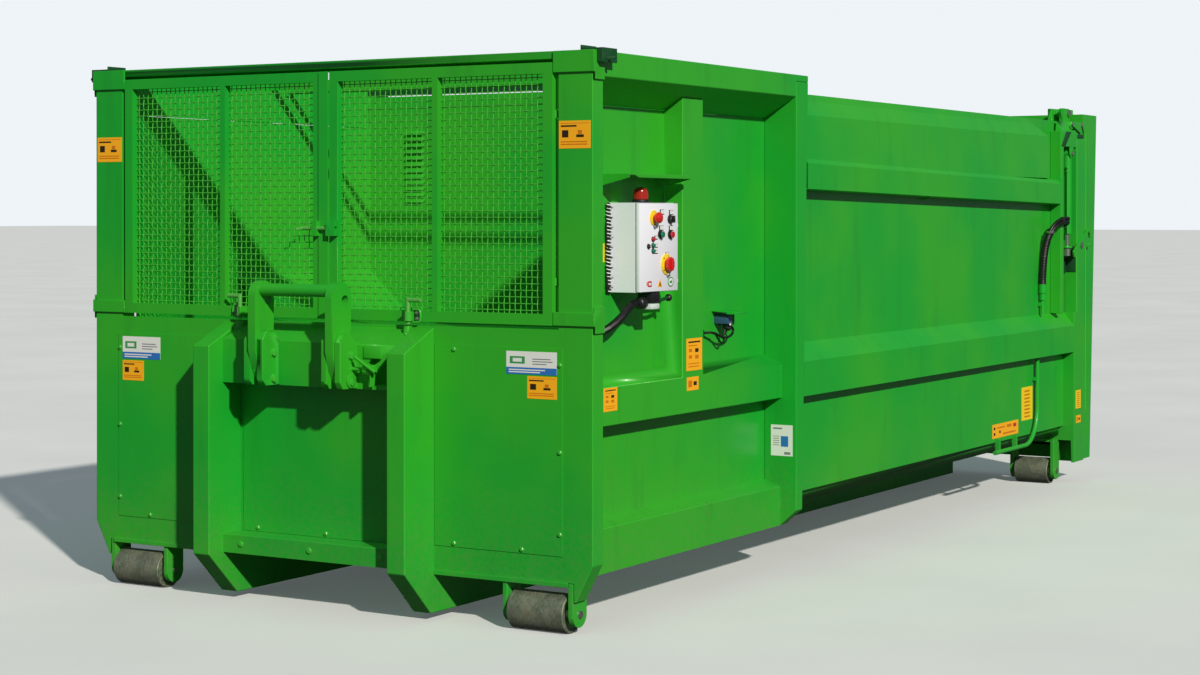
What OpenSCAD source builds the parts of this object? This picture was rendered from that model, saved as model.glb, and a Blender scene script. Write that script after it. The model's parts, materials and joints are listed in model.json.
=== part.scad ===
// Mobile waste press container: hopper and ram press at the hook end, closed box with a top-hung
// tailgate behind it, carried by two skid rails and four rollers.
// +X runs from the hook end to the tailgate, -Y is the side with the control cabinet, +Z is up.

/* [Overall size] */
// Width over the corner posts
body_w = 2500; // [2300:10:2550]
// Height of the hopper frame above the ground
body_h = 2200; // [2100:10:2500]
// Length of the hopper section, hook-end face to its rear posts
press_l = 1740; // [1700:10:2000]
// Length from the hook-end face to the joint of the tailgate
box_l = 5640; // [4800:10:6500]
// Drop from the top of the hopper frame to the container roof
roof_drop = 74; // [40:1:140]

/* [Skid rails] */
// Distance over the outer faces of the two skid rails
rail_gauge = 1060; // [1040:1:1080]
// Width of a rail
rail_w = 86; // [70:1:100]
// Height of a rail
rail_h = 186; // [160:1:200]
// Clearance of the rails above the ground
rail_z = 30; // [20:1:45]
// Plate thickness of the rails
rail_t = 8; // [5:0.5:12]
// Depth of the uprights in front of the hook-end face
upright_d = 200; // [180:1:240]
// Height of the front edge of an upright
upright_z = 1052; // [950:1:1100]

/* [Hook end] */
// Height of the top edge of the hook-end wall
wall_z = 1150; // [1120:1:1200]
// Height of the lower edge of the hook-end wall
lip_z = 195; // [180:1:220]
// Thickness of the hook-end wall
wall_t = 5; // [4:0.5:8]
// Width of a corner post
post_w = 150; // [120:1:180]
// Depth of a corner post
post_d = 77; // [60:1:100]
// Wall of posts and top rails
post_t = 5; // [3:0.5:8]
// Depth of the beam that carries the hook bow
beam_d = 115; // [90:1:130]
// Height of the underside of the hook beam
beam_z = 900; // [880:1:930]
// Height of the front top edge of the hook beam
beam_top = 1076; // [1060:1:1090]
// Height of the hook bar's centre
bar_z = 1285; // [1260:1:1320]
// Diameter of the hook bar
bar_d = 50; // [45:1:60]
// Clear width between the two hook plates
bow_gap = 350; // [300:1:400]
// Thickness of a hook plate
bow_t = 36; // [25:1:40]
// Depth of a hook plate
bow_d = 120; // [110:1:130]
// Diameter of the bolts that hold the bow
bow_bolt_d = 24; // [20:1:30]
// Thickness of the removable panels
panel_t = 3; // [2:0.5:5]

/* [Gates] */
// Depth of a gate leaf
leaf_d = 35; // [30:1:40]
// Width of a gate stile
stile_w = 42; // [30:1:45]
// Width of the middle bar of a leaf
bar_w = 26; // [20:1:35]
// Gap between the gate and the frame around it
gate_gap = 12; // [8:1:15]
// Diameter of the hinge pins
gate_pin_d = 16; // [12:1:18]
// Gaps across one mesh field
mesh_nx = 6; // [4:1:6]
// Gaps up one mesh field
mesh_nz = 10; // [6:1:10]
// Width of a mesh strand
strand = 6; // [4:1:10]

/* [Hopper] */
// Depth of the recess in the hopper sides
recess = 158; // [145:1:180]
// Depth of the pressed ribs on the hopper sides
rib_d = 88; // [60:1:100]
// Sheet thickness of the hopper
sheet_t = 4; // [3:0.5:6]
// Lower edge of the hopper sides
side_z = 207; // [200:1:215]
// Half width of the press chamber
chamber_hw = 880; // [820:5:900]
// Height of the floor plate's upper face
floor_z = 345; // [330:1:360]
// Height of the press ram
ram_h = 745; // [700:5:760]
// Length of the deck over the machine room
deck_l = 740; // [700:5:760]
// Stroke of the press ram
ram_stroke = 600; // [500:10:620]
// Thickness of the floor plates
floor_t = 6; // [4:1:10]

/* [Container] */
// Depth of the ribs on the container sides
box_rib = 66; // [50:1:80]
// Sheet thickness of the container
box_t = 4; // [3:0.5:6]
// Fall of the upper side rib towards the tailgate
rib_fall = 54; // [0:1:60]
// Depth of the tailgate at its lower edge
tail_d = 132; // [110:1:160]
// Extra depth of the tailgate at its top
tail_lean = 120; // [60:1:140]
// Depth of the ribs across the tailgate
tail_rib = 24; // [15:1:30]
// Gap between the rear frame and the tailgate
tail_gap = 15; // [12:1:20]
// Diameter of the tailgate hinge pins
tail_pin_d = 32; // [26:1:36]

/* [Rollers] */
// Diameter of the rollers
roller_d = 150; // [130:1:160]
// Length of a front roller
roller_l = 250; // [220:1:260]
// Length of a rear roller
rear_roller_l = 200; // [180:1:220]
// Diameter of the roller axles
axle_d = 30; // [25:1:36]
// Thickness of the roller brackets
lug_t = 20; // [12:1:22]

/* [Control cabinet] */
// Width of the cabinet
cab_w = 307; // [280:1:340]
// Height of the cabinet
cab_h = 351; // [320:1:370]
// Depth of the cabinet with its door
cab_d = 139; // [120:1:142]
// Thickness of the cabinet door
door_t = 20; // [16:1:24]
// Travel of the push buttons
press_travel = 5; // [3:0.5:8]

/* [Hidden] */
$fn = 48;
hw = body_w / 2;
fit = 0.3;
run = 0.06;

// Heights and stations that follow from the driving sizes
roof_z = body_h - roof_drop;
frame_rail_h = 30;
rail_edge_z = body_h - 96;
recess_y = hw - recess;
rib_y = recess_y + rib_d;
inner_z = rail_edge_z - (body_h - rail_edge_z);
slot_h = 9;
cross_x = 985;
rear_post_d0 = 60;
rear_post_d1 = 121;
rail_y0 = rail_gauge / 2 - rail_w;
rail_y1 = rail_gauge / 2;
rail_top = rail_z + rail_h;
box_y = hw - box_rib;
box_x0 = press_l + rear_post_d1;
end_x0 = box_l - 165;
end_x1 = box_l;

// Ribs on the container sides and the lock bay behind them
band_z = roof_z - 336;
waist_z = roof_z - 436;
mid_z = 770;
bay_l = 400;
bay_z = mid_z + 240;
foot_z = 126;

// Gate leaves
leaf_x0 = -8;
leaf_x1 = leaf_x0 + leaf_d;
gate_z0 = wall_z + gate_gap + 3;
gate_z1 = body_h - frame_rail_h - gate_gap;
gate_y1 = hw - post_w - 2 * gate_gap;
meet = 20;
meet_gap = 4;
hinge_x = leaf_x1 + 13;
hinge_y = gate_y1 + 11;
knuckle_r = 12;
knuckle_h = 30;
hinge_zs = [gate_z0 + 150, gate_z1 - 210];
mid_y = 536;
drop_y = 424;
drop_x = -30;
drop_r = 9;
drop_tip = wall_z + 6;
drop_travel = 28;
gate_bolt_x = leaf_x0 - 17;
gate_bolt_z = 1528;
gate_bolt_r = 8;
gate_bolt_travel = 40;

// Rollers
roller_r = roller_d / 2;
front_x = 50;
rear_x = box_l - 190;
lug_gap = 13;
lug_r = 50;
frame_z = lip_z + 60;
front_y1 = hw - 107;
front_y0 = front_y1 - roller_l - 2 * lug_gap;
rear_y1 = hw - 120;
rear_y0 = rear_y1 - rear_roller_l - 2 * lug_gap;

// Hook bow
bow_y0 = bow_gap / 2;
bow_x0 = -beam_d - bow_d;
bow_r = 60;
bolt_x = -beam_d - 43;
bolt_z0 = beam_z + 28;
bolt_z1 = bolt_z0 + 104;
cheek_t = 30;

// Press
ram_x0 = 60;
ram_x1 = 1100;
bulk_x = 515;
barrel_r = 55;
rod_r = 35;
barrel_y = 420;
barrel_z = floor_z + ram_h / 2;
barrel_x0 = 60;
barrel_x1 = barrel_x0 + ram_stroke + 220;

// Tailgate
tail_x0 = box_l + tail_gap;
tail_z0 = 130;
tail_z1 = roof_z + 50;
tail_y = hw - 10;
tail_slope = tail_lean / (tail_z1 - tail_z0);
rib_zs = [for (i = [0:5]) tail_z0 + 160 + i * (tail_z1 - tail_z0 - 396) / 5];
tail_pin_r = tail_pin_d / 2;
ear_r = tail_pin_r + 12;
pin_x = box_l - 40;
pin_z = tail_z1 + 4;
ear_ys = [hw - 175, hw - 105];
ear_t = 25;

// Middle of the length, over the hook bow and the tailgate's top rib
tail_back = tail_x0 + tail_d + tail_slope * (rib_zs[5] + 70 - tail_z0) + tail_rib;
mid_x = (tail_back - beam_d - bow_d) / 2;

// Tailgate locks
lock_y = hw + 2;
lock_x = box_l - 80;
lock_z = 1400;
lock_t = 12;
lock_pin_r = 12;
lock_open = 24;
lock_rod_x = box_l - 200;
lock_rod_y = hw - 32;
lock_rod_r = 12;
lock_barrel_r = 26;
stud_x = tail_x0 + 58;
stud_r = 12;

// Control cabinet
cab_x = 385;
cab_z = 1279;
cab_y1 = -recess_y;
cab_y0 = cab_y1 - cab_d;
door_y = cab_y0 + door_t;
face_y = cab_y0;
estop_p = [cab_x + 108, cab_z + 292];
selector_p = [cab_x + 238, cab_z + 286];
start_p = [cab_x + 160, cab_z + 226];
stop_p = [cab_x + 240, cab_z + 225];
main_p = [cab_x + 209, cab_z + 108];
beacon_p = [cab_x + 135, -recess_y - 66, cab_z + cab_h];

// Routes of the held cables and hoses, by hand
socket_x = 1262;
socket_z = 1090;
hose_x = box_l - 596;
bay_s = (waist_z - bay_z) / 680;
hose_z = bay_z + 174 * bay_s;
cable_d = 32;
cable_path = [[45, 60, -43], [23, 60, -43], [-1, 60, -51], [-29, 62, -69], [-57, 66, -91], [-85, 76, -113],
    [-113, 90, -133], [-139, 108, -149], [-163, 126, -161], [-181, 136, -167], [-199, 136, -167]];
cable_pts = [for (p = cable_path) [cab_x + p[0], p[1] - hw, cab_z + p[2]]];
loop_d = 14;
loop_path = [[0, 102, 0], [0, 102, -20], [14, 102, -40], [40, 103, -52], [68, 104, -56], [94, 106, -50],
    [110, 108, -32], [112, 110, -12], [98, 114, 4], [76, 118, 12], [52, 122, 12], [28, 128, 6],
    [2, 134, -1], [-26, 140, -6], [-56, 144, -8], [-86, 144, -8]];
loop_pts = [for (p = loop_path) [socket_x + p[0], p[1] - hw, socket_z + p[2]]];
hose_d = 44;
hose_path = [[0, 42, 0], [0, 42, 30], [8, 41, 96], [16, 38, 160], [22, 30, 220], [26, 20, 260], [38, 8, 296],
    [62, -6, 328], [98, -18, 350], [146, -26, 362], [196, -28, 366], [246, -26, 364], [286, -10, 356],
    [320, 18, 344], [342, 32, 340], [360, 32, 340]];
hose_pts = [for (p = hose_path) [hose_x + p[0], p[1] - hw, hose_z + p[2] * bay_s]];

green = [0.13, 0.6, 0.16];

// ---- helpers ----

// The parts are drawn from the hook-end face and stand centred on the origin
module in_frame() {
    translate([-mid_x, 0, 0]) children();
}

module both() {
    children();
    mirror([0, 1, 0]) children();
}

// A (y, z) outline drawn out along X
module along_x(x0, x1, pts) {
    translate([x0, 0, 0]) rotate([90, 0, 90]) linear_extrude(x1 - x0) polygon(pts);
}

// An (x, z) outline drawn out along Y
module along_y(y0, y1, pts) {
    translate([0, y1, 0]) rotate([90, 0, 0]) linear_extrude(y1 - y0) polygon(pts);
}

module box(a, b) {
    translate(a) cube(b - a);
}

module rod_x(y, z, r, x0, x1) {
    translate([x0, y, z]) rotate([0, 90, 0]) cylinder(r = r, h = x1 - x0);
}

module rod_y(x, z, r, y0, y1) {
    translate([x, y0, z]) rotate([-90, 0, 0]) cylinder(r = r, h = y1 - y0);
}

module rod_z(x, y, r, z0, z1) {
    translate([x, y, z0]) cylinder(r = r, h = z1 - z0);
}

// Height at which the tapered rear post reaches back to x
function post_z(x) = side_z + (body_h - frame_rail_h - side_z) * (x - press_l - rear_post_d0) /
    (rear_post_d1 - rear_post_d0);

function unit(v) = v / norm(v);
function perp(v) = [-v[1], v[0]];

// Point i of a path, moved sideways by t along the mitre of its two legs
function mitre(p, i, t) =
    let(n = len(p),
        a = i > 0 ? unit(p[i] - p[i - 1]) : unit(p[1] - p[0]),
        b = i < n - 1 ? unit(p[i + 1] - p[i]) : unit(p[n - 1] - p[n - 2]),
        m = unit(perp(a) + perp(b)))
    p[i] + m * t / (m * perp(a));

// Section of a folded sheet: a path and the same path t to its left
function folded(p, t) = concat(p, [for (i = [len(p) - 1:-1:0]) mitre(p, i, t)]);

// Tube of diameter d swept along points, as one closed polyhedron with flat ends
module swept(pts, d, sides) {
    n = len(pts);
    rings = [for (i = [0:n - 1])
        let(t = unit(pts[min(i + 1, n - 1)] - pts[max(i - 1, 0)]),
            u = unit(cross(t, abs(t[2]) > 0.9 ? [0, 1, 0] : [0, 0, 1])),
            v = cross(t, u))
        [for (k = [0:sides - 1])
            pts[i] + d / 2 * (cos(360 * k / sides) * u + sin(360 * k / sides) * v)]];
    points = [for (r = rings) for (p = r) p];
    walls = [for (i = [0:n - 2]) for (k = [0:sides - 1])
        let(a = i * sides + k, b = i * sides + (k + 1) % sides) [b, a, a + sides, b + sides]];
    ends = [[for (k = [0:sides - 1]) k], [for (k = [sides - 1:-1:0]) (n - 1) * sides + k]];
    polyhedron(points, concat(walls, ends));
}

// ---- hopper frame ----

// Front corner post: closed box section with a chamfered foot
module front_post() {
    foot = [[hw - post_w, lip_z], [hw - 85, lip_z], [hw - 85, 128], [hw - 74, 128], [hw, 268],
        [hw, body_h - frame_rail_h], [hw - post_w, body_h - frame_rail_h]];
    difference() {
        along_x(0, post_d, foot);
        box([post_t, hw - post_w + post_t, 280], [post_d - post_t, hw - post_t, body_h - frame_rail_h - post_t]);
    }
}

// Rear hopper post: tapers towards its foot, chamfered below
module rear_post() {
    top = body_h - frame_rail_h;
    intersection() {
        along_x(press_l, press_l + rear_post_d1, [[recess_y, side_z], [rib_y - 8, side_z], [hw, 277],
            [hw, top], [recess_y, top]]);
        along_y(recess_y, hw, [[press_l, side_z], [press_l + rear_post_d0, side_z],
            [press_l + rear_post_d1, top], [press_l, top]]);
    }
}

// Strip behind the hinge side of a gate, notched round the knuckles
module hinge_strip() {
    x0 = leaf_x1 - 11;
    x1 = x0 + post_t;
    difference() {
        box([x0, gate_y1 + 5, gate_z0], [x1, hw - post_w, gate_z1]);
        for (z = hinge_zs) box([x0 - 1, gate_y1, z - 4], [x1 + 1, hw - post_w - 1, z + knuckle_h + 4]);
    }
}

module corner_posts() {
    color(green) in_frame() both() {
        front_post();
        hinge_strip();
        difference() {
            rear_post();
            box([press_l + post_t, recess_y + post_t, 300],
                [press_l + rear_post_d0 - post_t, hw - post_t, body_h - frame_rail_h - post_t]);
        }
    }
}

module top_frame() {
    top = body_h - frame_rail_h;
    side = [[hw, rail_edge_z], [hw, top], [recess_y, top], [recess_y, inner_z]];
    hollow = [[hw - post_t, rail_edge_z + post_t], [hw - post_t, top - post_t],
        [recess_y + post_t, top - post_t], [recess_y + post_t, inner_z + 3 * post_t]];
    color(green) in_frame() {
        both() {
            difference() {
                along_x(post_d, press_l, side);
                along_x(post_d + post_t, press_l - post_t, hollow);
            }
        }
        // strip behind the top edge of the gates, and the bar across the hopper
        box([leaf_x1 + 3, post_w - hw, gate_z1 + 2], [post_d, hw - post_w, top]);
        box([cross_x, -recess_y, gate_z1 + 2], [cross_x + 6, recess_y, body_h]);
        difference() {
            box([0, -hw, top], [box_x0, hw, body_h]);
            box([post_d, -recess_y, top - 1], [press_l, recess_y, body_h + 1]);
            along_y(30 - recess_y, recess_y - 30, [[press_l - 1, top - 1], [box_x0 + 1, top - 1],
                [box_x0 + 1, top + 8], [press_l - 1, top]]);
            box([post_t, -hw + post_t, top + post_t], [post_d - post_t, hw - post_t, body_h - post_t]);
            both() box([post_d + post_t, hw - post_w + post_t, top + post_t],
                [box_x0 - post_t, hw - post_t, body_h - post_t]);
        }
        difference() {
            box([press_l - 6, -recess_y, rail_edge_z], [box_x0, recess_y, top]);
            box([press_l - 7, 30 - recess_y, top - slot_h], [box_x0 + 1, recess_y - 30, top + 1]);
            box([press_l + post_t, -recess_y + post_t, rail_edge_z + post_t],
                [box_x0 - post_t, recess_y - post_t, top - slot_h - post_t]);
        }
    }
}

// Straps that wrap the front corners above and below the gates
module corner_bands() {
    strap = 10;
    color(green) in_frame() both() {
        box([-strap, gate_y1 + 4, body_h - 82], [0, hw + strap, body_h]);
        box([0, hw, body_h - 110], [post_d - 4, hw + strap, body_h]);
        box([-strap, gate_y1 + 4, wall_z + 15], [0, hw + strap, wall_z + 67]);
        box([0, hw, wall_z - 12], [post_d - 4, hw + strap, wall_z + 88]);
    }
}

// Net fittings: inverted channels with a cross pin on the front corners, and a bar at the back
module corner_brackets() {
    color([0.06, 0.2, 0.12]) in_frame() both() {
        box([12, hw - 62, body_h], [118, hw + 36, body_h + 8]);
        box([12, hw + 28, body_h - 46], [118, hw + 36, body_h]);
        box([press_l - 10, 0, body_h - frame_rail_h], [press_l, recess_y, body_h]);
        box([12, hw - 62, body_h + 8], [118, hw - 54, body_h + 20]);
        rod_y(48, body_h - 30, 7, hw + 10, hw + 70);
        box([12, hw + 10, body_h - 46], [20, hw + 28, body_h]);
    }
}

// ---- hook-end wall ----

panel_y0 = rail_y1 + 1;
panel_y1 = hw - 132;
panel_z0 = lip_z + 101;
panel_z1 = wall_z - 72;
centre_y = rail_y0 - 16;
centre_z0 = lip_z + 89;
centre_z1 = beam_z - 4;

module front_wall() {
    edge = 30;
    color(green) in_frame() {
        difference() {
            box([0, post_w - hw, lip_z], [wall_t, hw - post_w, wall_z]);
            both() box([-1, panel_y0 + edge, panel_z0 + edge], [wall_t + 1, hw - post_w - edge, panel_z1 - edge]);
            box([-1, -centre_y + edge, centre_z0 + edge], [wall_t + 1, centre_y - edge, centre_z1 - edge]);
            both() box([-1, rail_y0, lip_z - 1], [wall_t + 1, rail_y1, rail_top]);
        }
        both() box([-8, rail_y1, lip_z - 14], [0, front_y1, lip_z + 4]);
        both() box([0, rail_y1, lip_z - 14], [wall_t, front_y0 - lug_t, lip_z]);
        box([wall_t, post_w - hw, wall_z - 46], [45, hw - post_w, wall_z - 40]);
    }
}

module service_panel() {
    color(green) in_frame() box([-panel_t, panel_y0, panel_z0], [0, panel_y1, panel_z1]);
}

module service_panel_left() {
    service_panel();
}

module service_panel_right() {
    mirror([0, 1, 0]) service_panel();
}

module centre_panel() {
    color(green) in_frame() box([-panel_t, -centre_y, centre_z0], [0, centre_y, centre_z1]);
}

// Domed head of a panel bolt, pointing towards -X
module bolt_head(r) {
    rotate([0, -90, 0]) {
        cylinder(r = r * 1.25, h = 1.5);
        cylinder(r = r, h = 7, $fn = 6);
    }
}

side_bolts = [[panel_y1 - 10, panel_z1 - 62], [panel_y1 - 10, (panel_z0 + panel_z1) / 2],
    [panel_y1 - 10, panel_z0 + 82], [panel_y0 + 94, panel_z1 - 16], [panel_y0 + 94, panel_z0 + 14],
    [panel_y1 - 180, panel_z0 + 14]];
centre_bolts = [[-350, centre_z0 + 16], [0, centre_z0 + 16], [350, centre_z0 + 16]];
bar_bolts = [[-350, lip_z + 50], [0, lip_z + 50], [350, lip_z + 50]];

module bolts() {
    bolt_r = bow_bolt_d / 2;
    color([0.3, 0.45, 0.3]) in_frame() {
        both() for (p = side_bolts) translate([-panel_t, p[0], p[1]]) bolt_head(8);
        for (p = centre_bolts) translate([-panel_t, p[0], p[1]]) bolt_head(8);
        for (p = bar_bolts) translate([-crossbar_d, p[0], p[1]]) bolt_head(11);
        for (s = [-1, 1]) for (z = [bolt_z0, bolt_z1]) {
            y0 = s > 0 ? bow_y0 - cheek_t : -bow_y0 - bow_t - cheek_t;
            rod_y(bolt_x, z, bolt_r, y0, y0 + bow_t + 2 * cheek_t);
            translate([bolt_x, y0 - 14, z]) rotate([-90, 0, 0]) cylinder(r = bolt_r * 1.6, h = 14, $fn = 6);
            translate([bolt_x, y0 + bow_t + 2 * cheek_t, z]) rotate([-90, 0, 0])
                cylinder(r = bolt_r * 1.6, h = 18, $fn = 6);
        }
    }
}

// ---- skid rails and hook gear ----

// Long box rail that turns up into an upright in front of the hook-end wall
module skid_rails() {
    slope = rail_top - rail_z;
    outer = [[-upright_d, rail_top - 11], [-upright_d + slope - 8, rail_z], [rear_x - 60, rail_z],
        [rear_x - 60, rail_top], [0, rail_top], [0, wall_z - 5], [-upright_d, upright_z]];
    t = rail_t;
    inner = [[-upright_d + t, rail_top - 8], [-upright_d + slope - 4, rail_z + t], [rear_x - 60 - t, rail_z + t],
        [rear_x - 60 - t, rail_top - t], [-t, rail_top - t], [-t, wall_z - 5 - 2 * t],
        [-upright_d + t, upright_z - t]];
    color(green) in_frame() both() difference() {
        along_y(rail_y0, rail_y1, outer);
        along_y(rail_y0 + t, rail_y1 - t, inner);
    }
}

// Folded beam between the uprights, with the cheeks that hold the bow
module hook_beam() {
    t = 10;
    outer = [[-beam_d, beam_z], [-beam_d, beam_top], [0, wall_z - 12], [0, beam_z]];
    inner = [[-beam_d + t, beam_z + t], [-beam_d + t, beam_top - t / 2], [-t, wall_z - 12 - 2 * t],
        [-t, beam_z + t]];
    color(green) in_frame() {
        difference() {
            along_y(-rail_y0, rail_y0, outer);
            along_y(-rail_y0 + t, rail_y0 - t, inner);
            along_x(-beam_d - 1, t - beam_d + 1, [[22 - rail_y0, beam_z + 14], [lever_y + 33, beam_z + 14],
                [lever_y + 33, beam_z + 40], [lever_y - 31, beam_top - 60], [22 - rail_y0, beam_top - 40]]);
            along_x(-beam_d - 1, t - beam_d + 1, [[lever_y + 52, lever_z + 22], [lever_y + 31, lever_z + 10],
                [lever_y - 12, lever_z + 35], [lever_y + 31, lever_z + 47]]);
        }
        // keepers for the drop bolts
        both() difference() {
            rod_z(drop_x, drop_y, drop_r + 8, wall_z - 60, wall_z - 2);
            rod_z(drop_x, drop_y, drop_r + 1, drop_tip - drop_travel - 2, wall_z);
        }
        // pivot of the pull lever
        rod_y(lever_x, lever_z, 8, lever_y - 1, -bow_y0 - bow_t - cheek_t);
        rod_y(lever_x, lever_z, 13, lever_y - 7, lever_y - 1);
        for (s = [-1, 1]) {
            y0 = s > 0 ? bow_y0 - cheek_t : -bow_y0 - bow_t - cheek_t;
            for (y = [y0, y0 + bow_t + cheek_t]) difference() {
                along_y(y, y + cheek_t, [[-beam_d, beam_z + 4], [-beam_d - 92, beam_z + 4],
                    [-beam_d - 108, beam_z + 30], [-beam_d - 108, beam_top + 12], [-beam_d - 84, beam_top + 44],
                    [-beam_d - 40, beam_top + 44], [-beam_d, beam_top]]);
                for (z = [bolt_z0, bolt_z1]) rod_y(bolt_x, z, bow_bolt_d / 2 + fit / 2, y - 1, y + cheek_t + 1);
            }
        }
    }
}

// Two upright plates joined by the round bar that the truck's hook grips
module hook_bow() {
    top = bar_z - 25;
    x0 = bow_x0;
    x1 = -beam_d - 0.5;
    plate = [[x0 + 60, beam_z + 6], [x1, beam_z + 6], [x1, top], [x0, top], [x0, beam_z + 150],
        [x0 + 20, beam_z + 70]];
    xc = (x0 + x1) / 2;
    r = (x1 - x0) / 2;
    color(green) in_frame() {
        for (s = [-1, 1]) {
            y0 = s > 0 ? bow_y0 : -bow_y0 - bow_t;
            difference() {
                union() {
                    along_y(y0 + fit, y0 + bow_t - fit, plate);
                    rod_y(xc, top, r, y0 + fit, y0 + bow_t - fit);
                }
                for (z = [bolt_z0, bolt_z1]) rod_y(bolt_x, z, bow_bolt_d / 2 + fit / 2, y0 - 1, y0 + bow_t + 1);
                rod_y(xc + 22, top - 14, 22, y0 - 1, y0 + bow_t + 1);
            }
        }
        rod_y(xc - 12, bar_z, bar_d / 2, -bow_y0 - fit, bow_y0 + fit);
    }
}

crossbar_d = 112;

module front_crossbar() {
    t = 8;
    color(green) in_frame() difference() {
        box([-crossbar_d, -rail_y0, lip_z + 11], [0, rail_y0, lip_z + 88]);
        box([-crossbar_d + t, -rail_y0 - 1, lip_z + 10], [-t, rail_y0 + 1, lip_z + 88 - t]);
    }
}

lever_y = -bow_y0 - bow_t - cheek_t - 104;
lever_x = -beam_d - 30;
lever_z = (bolt_z0 + bolt_z1) / 2;

// Lever on a boss beside the bow, with a slanting rod
module pull_lever() {
    color(green) in_frame() difference() {
        union() {
            rod_y(lever_x, lever_z, 20, lever_y, lever_y + 44);
            along_y(lever_y + 4, lever_y + 14, [[lever_x - 16, lever_z - 66], [lever_x + 10, lever_z - 66],
                [lever_x + 16, lever_z], [lever_x - 16, lever_z]]);
            translate([lever_x - 25, lever_y + 24, lever_z + 20]) rotate([120, 0, 0])
                cylinder(r = 7, h = 112, center = true);
        }
        rod_y(lever_x, lever_z, 8 + run, lever_y - 1, lever_y + 45);
    }
}

// ---- rollers ----

module roller_bracket(x, y0, y1, top, plate_l) {
    for (y = [y0 - lug_t, y1]) difference() {
        union() {
            rod_y(x, roller_r, lug_r, y, y + lug_t);
            box([x - lug_r, y, roller_r], [x + lug_r, y + lug_t, top]);
        }
        rod_y(x, roller_r, axle_d / 2 + fit / 2, y - 1, y + lug_t + 1);
    }
    box([x - lug_r + wall_t, y0 - lug_t, top - 8], [x + plate_l, y1 + lug_t, top]);
}

module roller_brackets() {
    color(green) in_frame() both() {
        roller_bracket(front_x, front_y0, front_y1, lip_z, lug_r);
        roller_bracket(rear_x, rear_y0, rear_y1, frame_z, roller_r + 15);
    }
}

module roller_axles() {
    color("silver") in_frame() both() {
        rod_y(front_x, roller_r, axle_d / 2, front_y0 - lug_t - 6, front_y1 + lug_t + 6);
        rod_y(rear_x, roller_r, axle_d / 2, rear_y0 - lug_t - 6, rear_y1 + lug_t + 6);
    }
}

// Steel tube roller with two webs set into its ends
module roller(x, y, l) {
    wall = 8;
    web = 12;
    inset = 14;
    bore = axle_d / 2 + run;
    translate([x, y, roller_r]) rotate([-90, 0, 0]) rotate_extrude($fn = 96) {
        polygon([[roller_r - wall, -l / 2], [roller_r - 2, -l / 2], [roller_r, 2 - l / 2], [roller_r, l / 2 - 2],
            [roller_r - 2, l / 2], [roller_r - wall, l / 2], [roller_r - wall, l / 2 - inset],
            [bore + 12, l / 2 - inset], [bore + 12, l / 2 - 1], [bore, l / 2 - 1], [bore, 1 - l / 2],
            [bore + 12, 1 - l / 2], [bore + 12, inset - l / 2], [roller_r - wall, inset - l / 2]]);
    }
}

module roller_front_right() {
    color([0.5, 0.49, 0.42]) in_frame() roller(front_x, -(front_y0 + front_y1) / 2, roller_l);
}

module roller_front_left() {
    color([0.5, 0.49, 0.42]) in_frame() roller(front_x, (front_y0 + front_y1) / 2, roller_l);
}

module roller_rear_right() {
    color([0.5, 0.49, 0.42]) in_frame() roller(rear_x, -(rear_y0 + rear_y1) / 2, rear_roller_l);
}

module roller_rear_left() {
    color([0.5, 0.49, 0.42]) in_frame() roller(rear_x, (rear_y0 + rear_y1) / 2, rear_roller_l);
}

// ---- hopper sides and press ----

upper_rib = [[recess_y, 962], [rib_y, 920], [rib_y, 772], [recess_y, 760]];
lower_rib = [[recess_y, 408], [rib_y - 8, 380], [rib_y - 8, side_z], [recess_y, side_z]];
pillar_x0 = 825;
pillar_x1 = 1001;

// Recessed side sheet with two long pressed ribs and a box pillar
module hopper_side() {
    slope_z = inner_z + rib_d * (rail_edge_z - inner_z) / recess;
    in_frame() {
        box([post_d, recess_y - sheet_t, side_z], [press_l, recess_y, inner_z]);
        along_x(post_d, press_l, folded(upper_rib, -sheet_t));
        along_x(post_d, press_l, folded(lower_rib, -sheet_t));
        difference() {
            along_x(pillar_x0, pillar_x1, [[recess_y, 940], [rib_y, 920], [rib_y, slope_z - 0.2],
                [recess_y, inner_z - 0.2]]);
            box([pillar_x0 + sheet_t, recess_y - 1, 980], [pillar_x1 - sheet_t, rib_y - sheet_t, inner_z - 10]);
        }
    }
}

module hopper_side_left() {
    color(green) hopper_side();
}

module hopper_side_right() {
    color(green) mirror([0, 1, 0]) hopper_side();
}

// Deck, bulkhead, chamber walls, sloping hopper sheets and floor
module press_chamber() {
    t = 6;
    iy = recess_y - sheet_t;
    slope_z0 = floor_z + ram_h + 20;
    slope_z1 = wall_z + 150;
    color(green) in_frame() {
        box([wall_t, -iy, wall_z - 40], [deck_l, iy, wall_z - 40 + t]);
        both() along_x(deck_l - t, press_l, [[chamber_hw, slope_z0], [iy, slope_z1], [iy, slope_z1 + 2 * t],
            [chamber_hw - t, slope_z0 + t]]);
        both() box([bulk_x, chamber_hw, floor_z], [press_l, chamber_hw + t, slope_z0 + 4]);
        both() box([wall_t, iy - 40, floor_z], [wall_t + 40, iy, wall_z - 46]);
        difference() {
            box([bulk_x, -chamber_hw, floor_z], [bulk_x + 12, chamber_hw, floor_z + ram_h - 40]);
            both() rod_x(barrel_y, barrel_z, barrel_r + 0.2, bulk_x - 1, bulk_x + 13);
        }
        box([wall_t, -iy, floor_z - floor_t], [press_l, iy, floor_z]);
        for (x = [300, 900, press_l - 240]) bearer(x, -iy, iy, rail_top);
        box([deck_l - t, -iy, wall_z - 34], [deck_l, iy, wall_z - 10]);
    }
}

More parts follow.
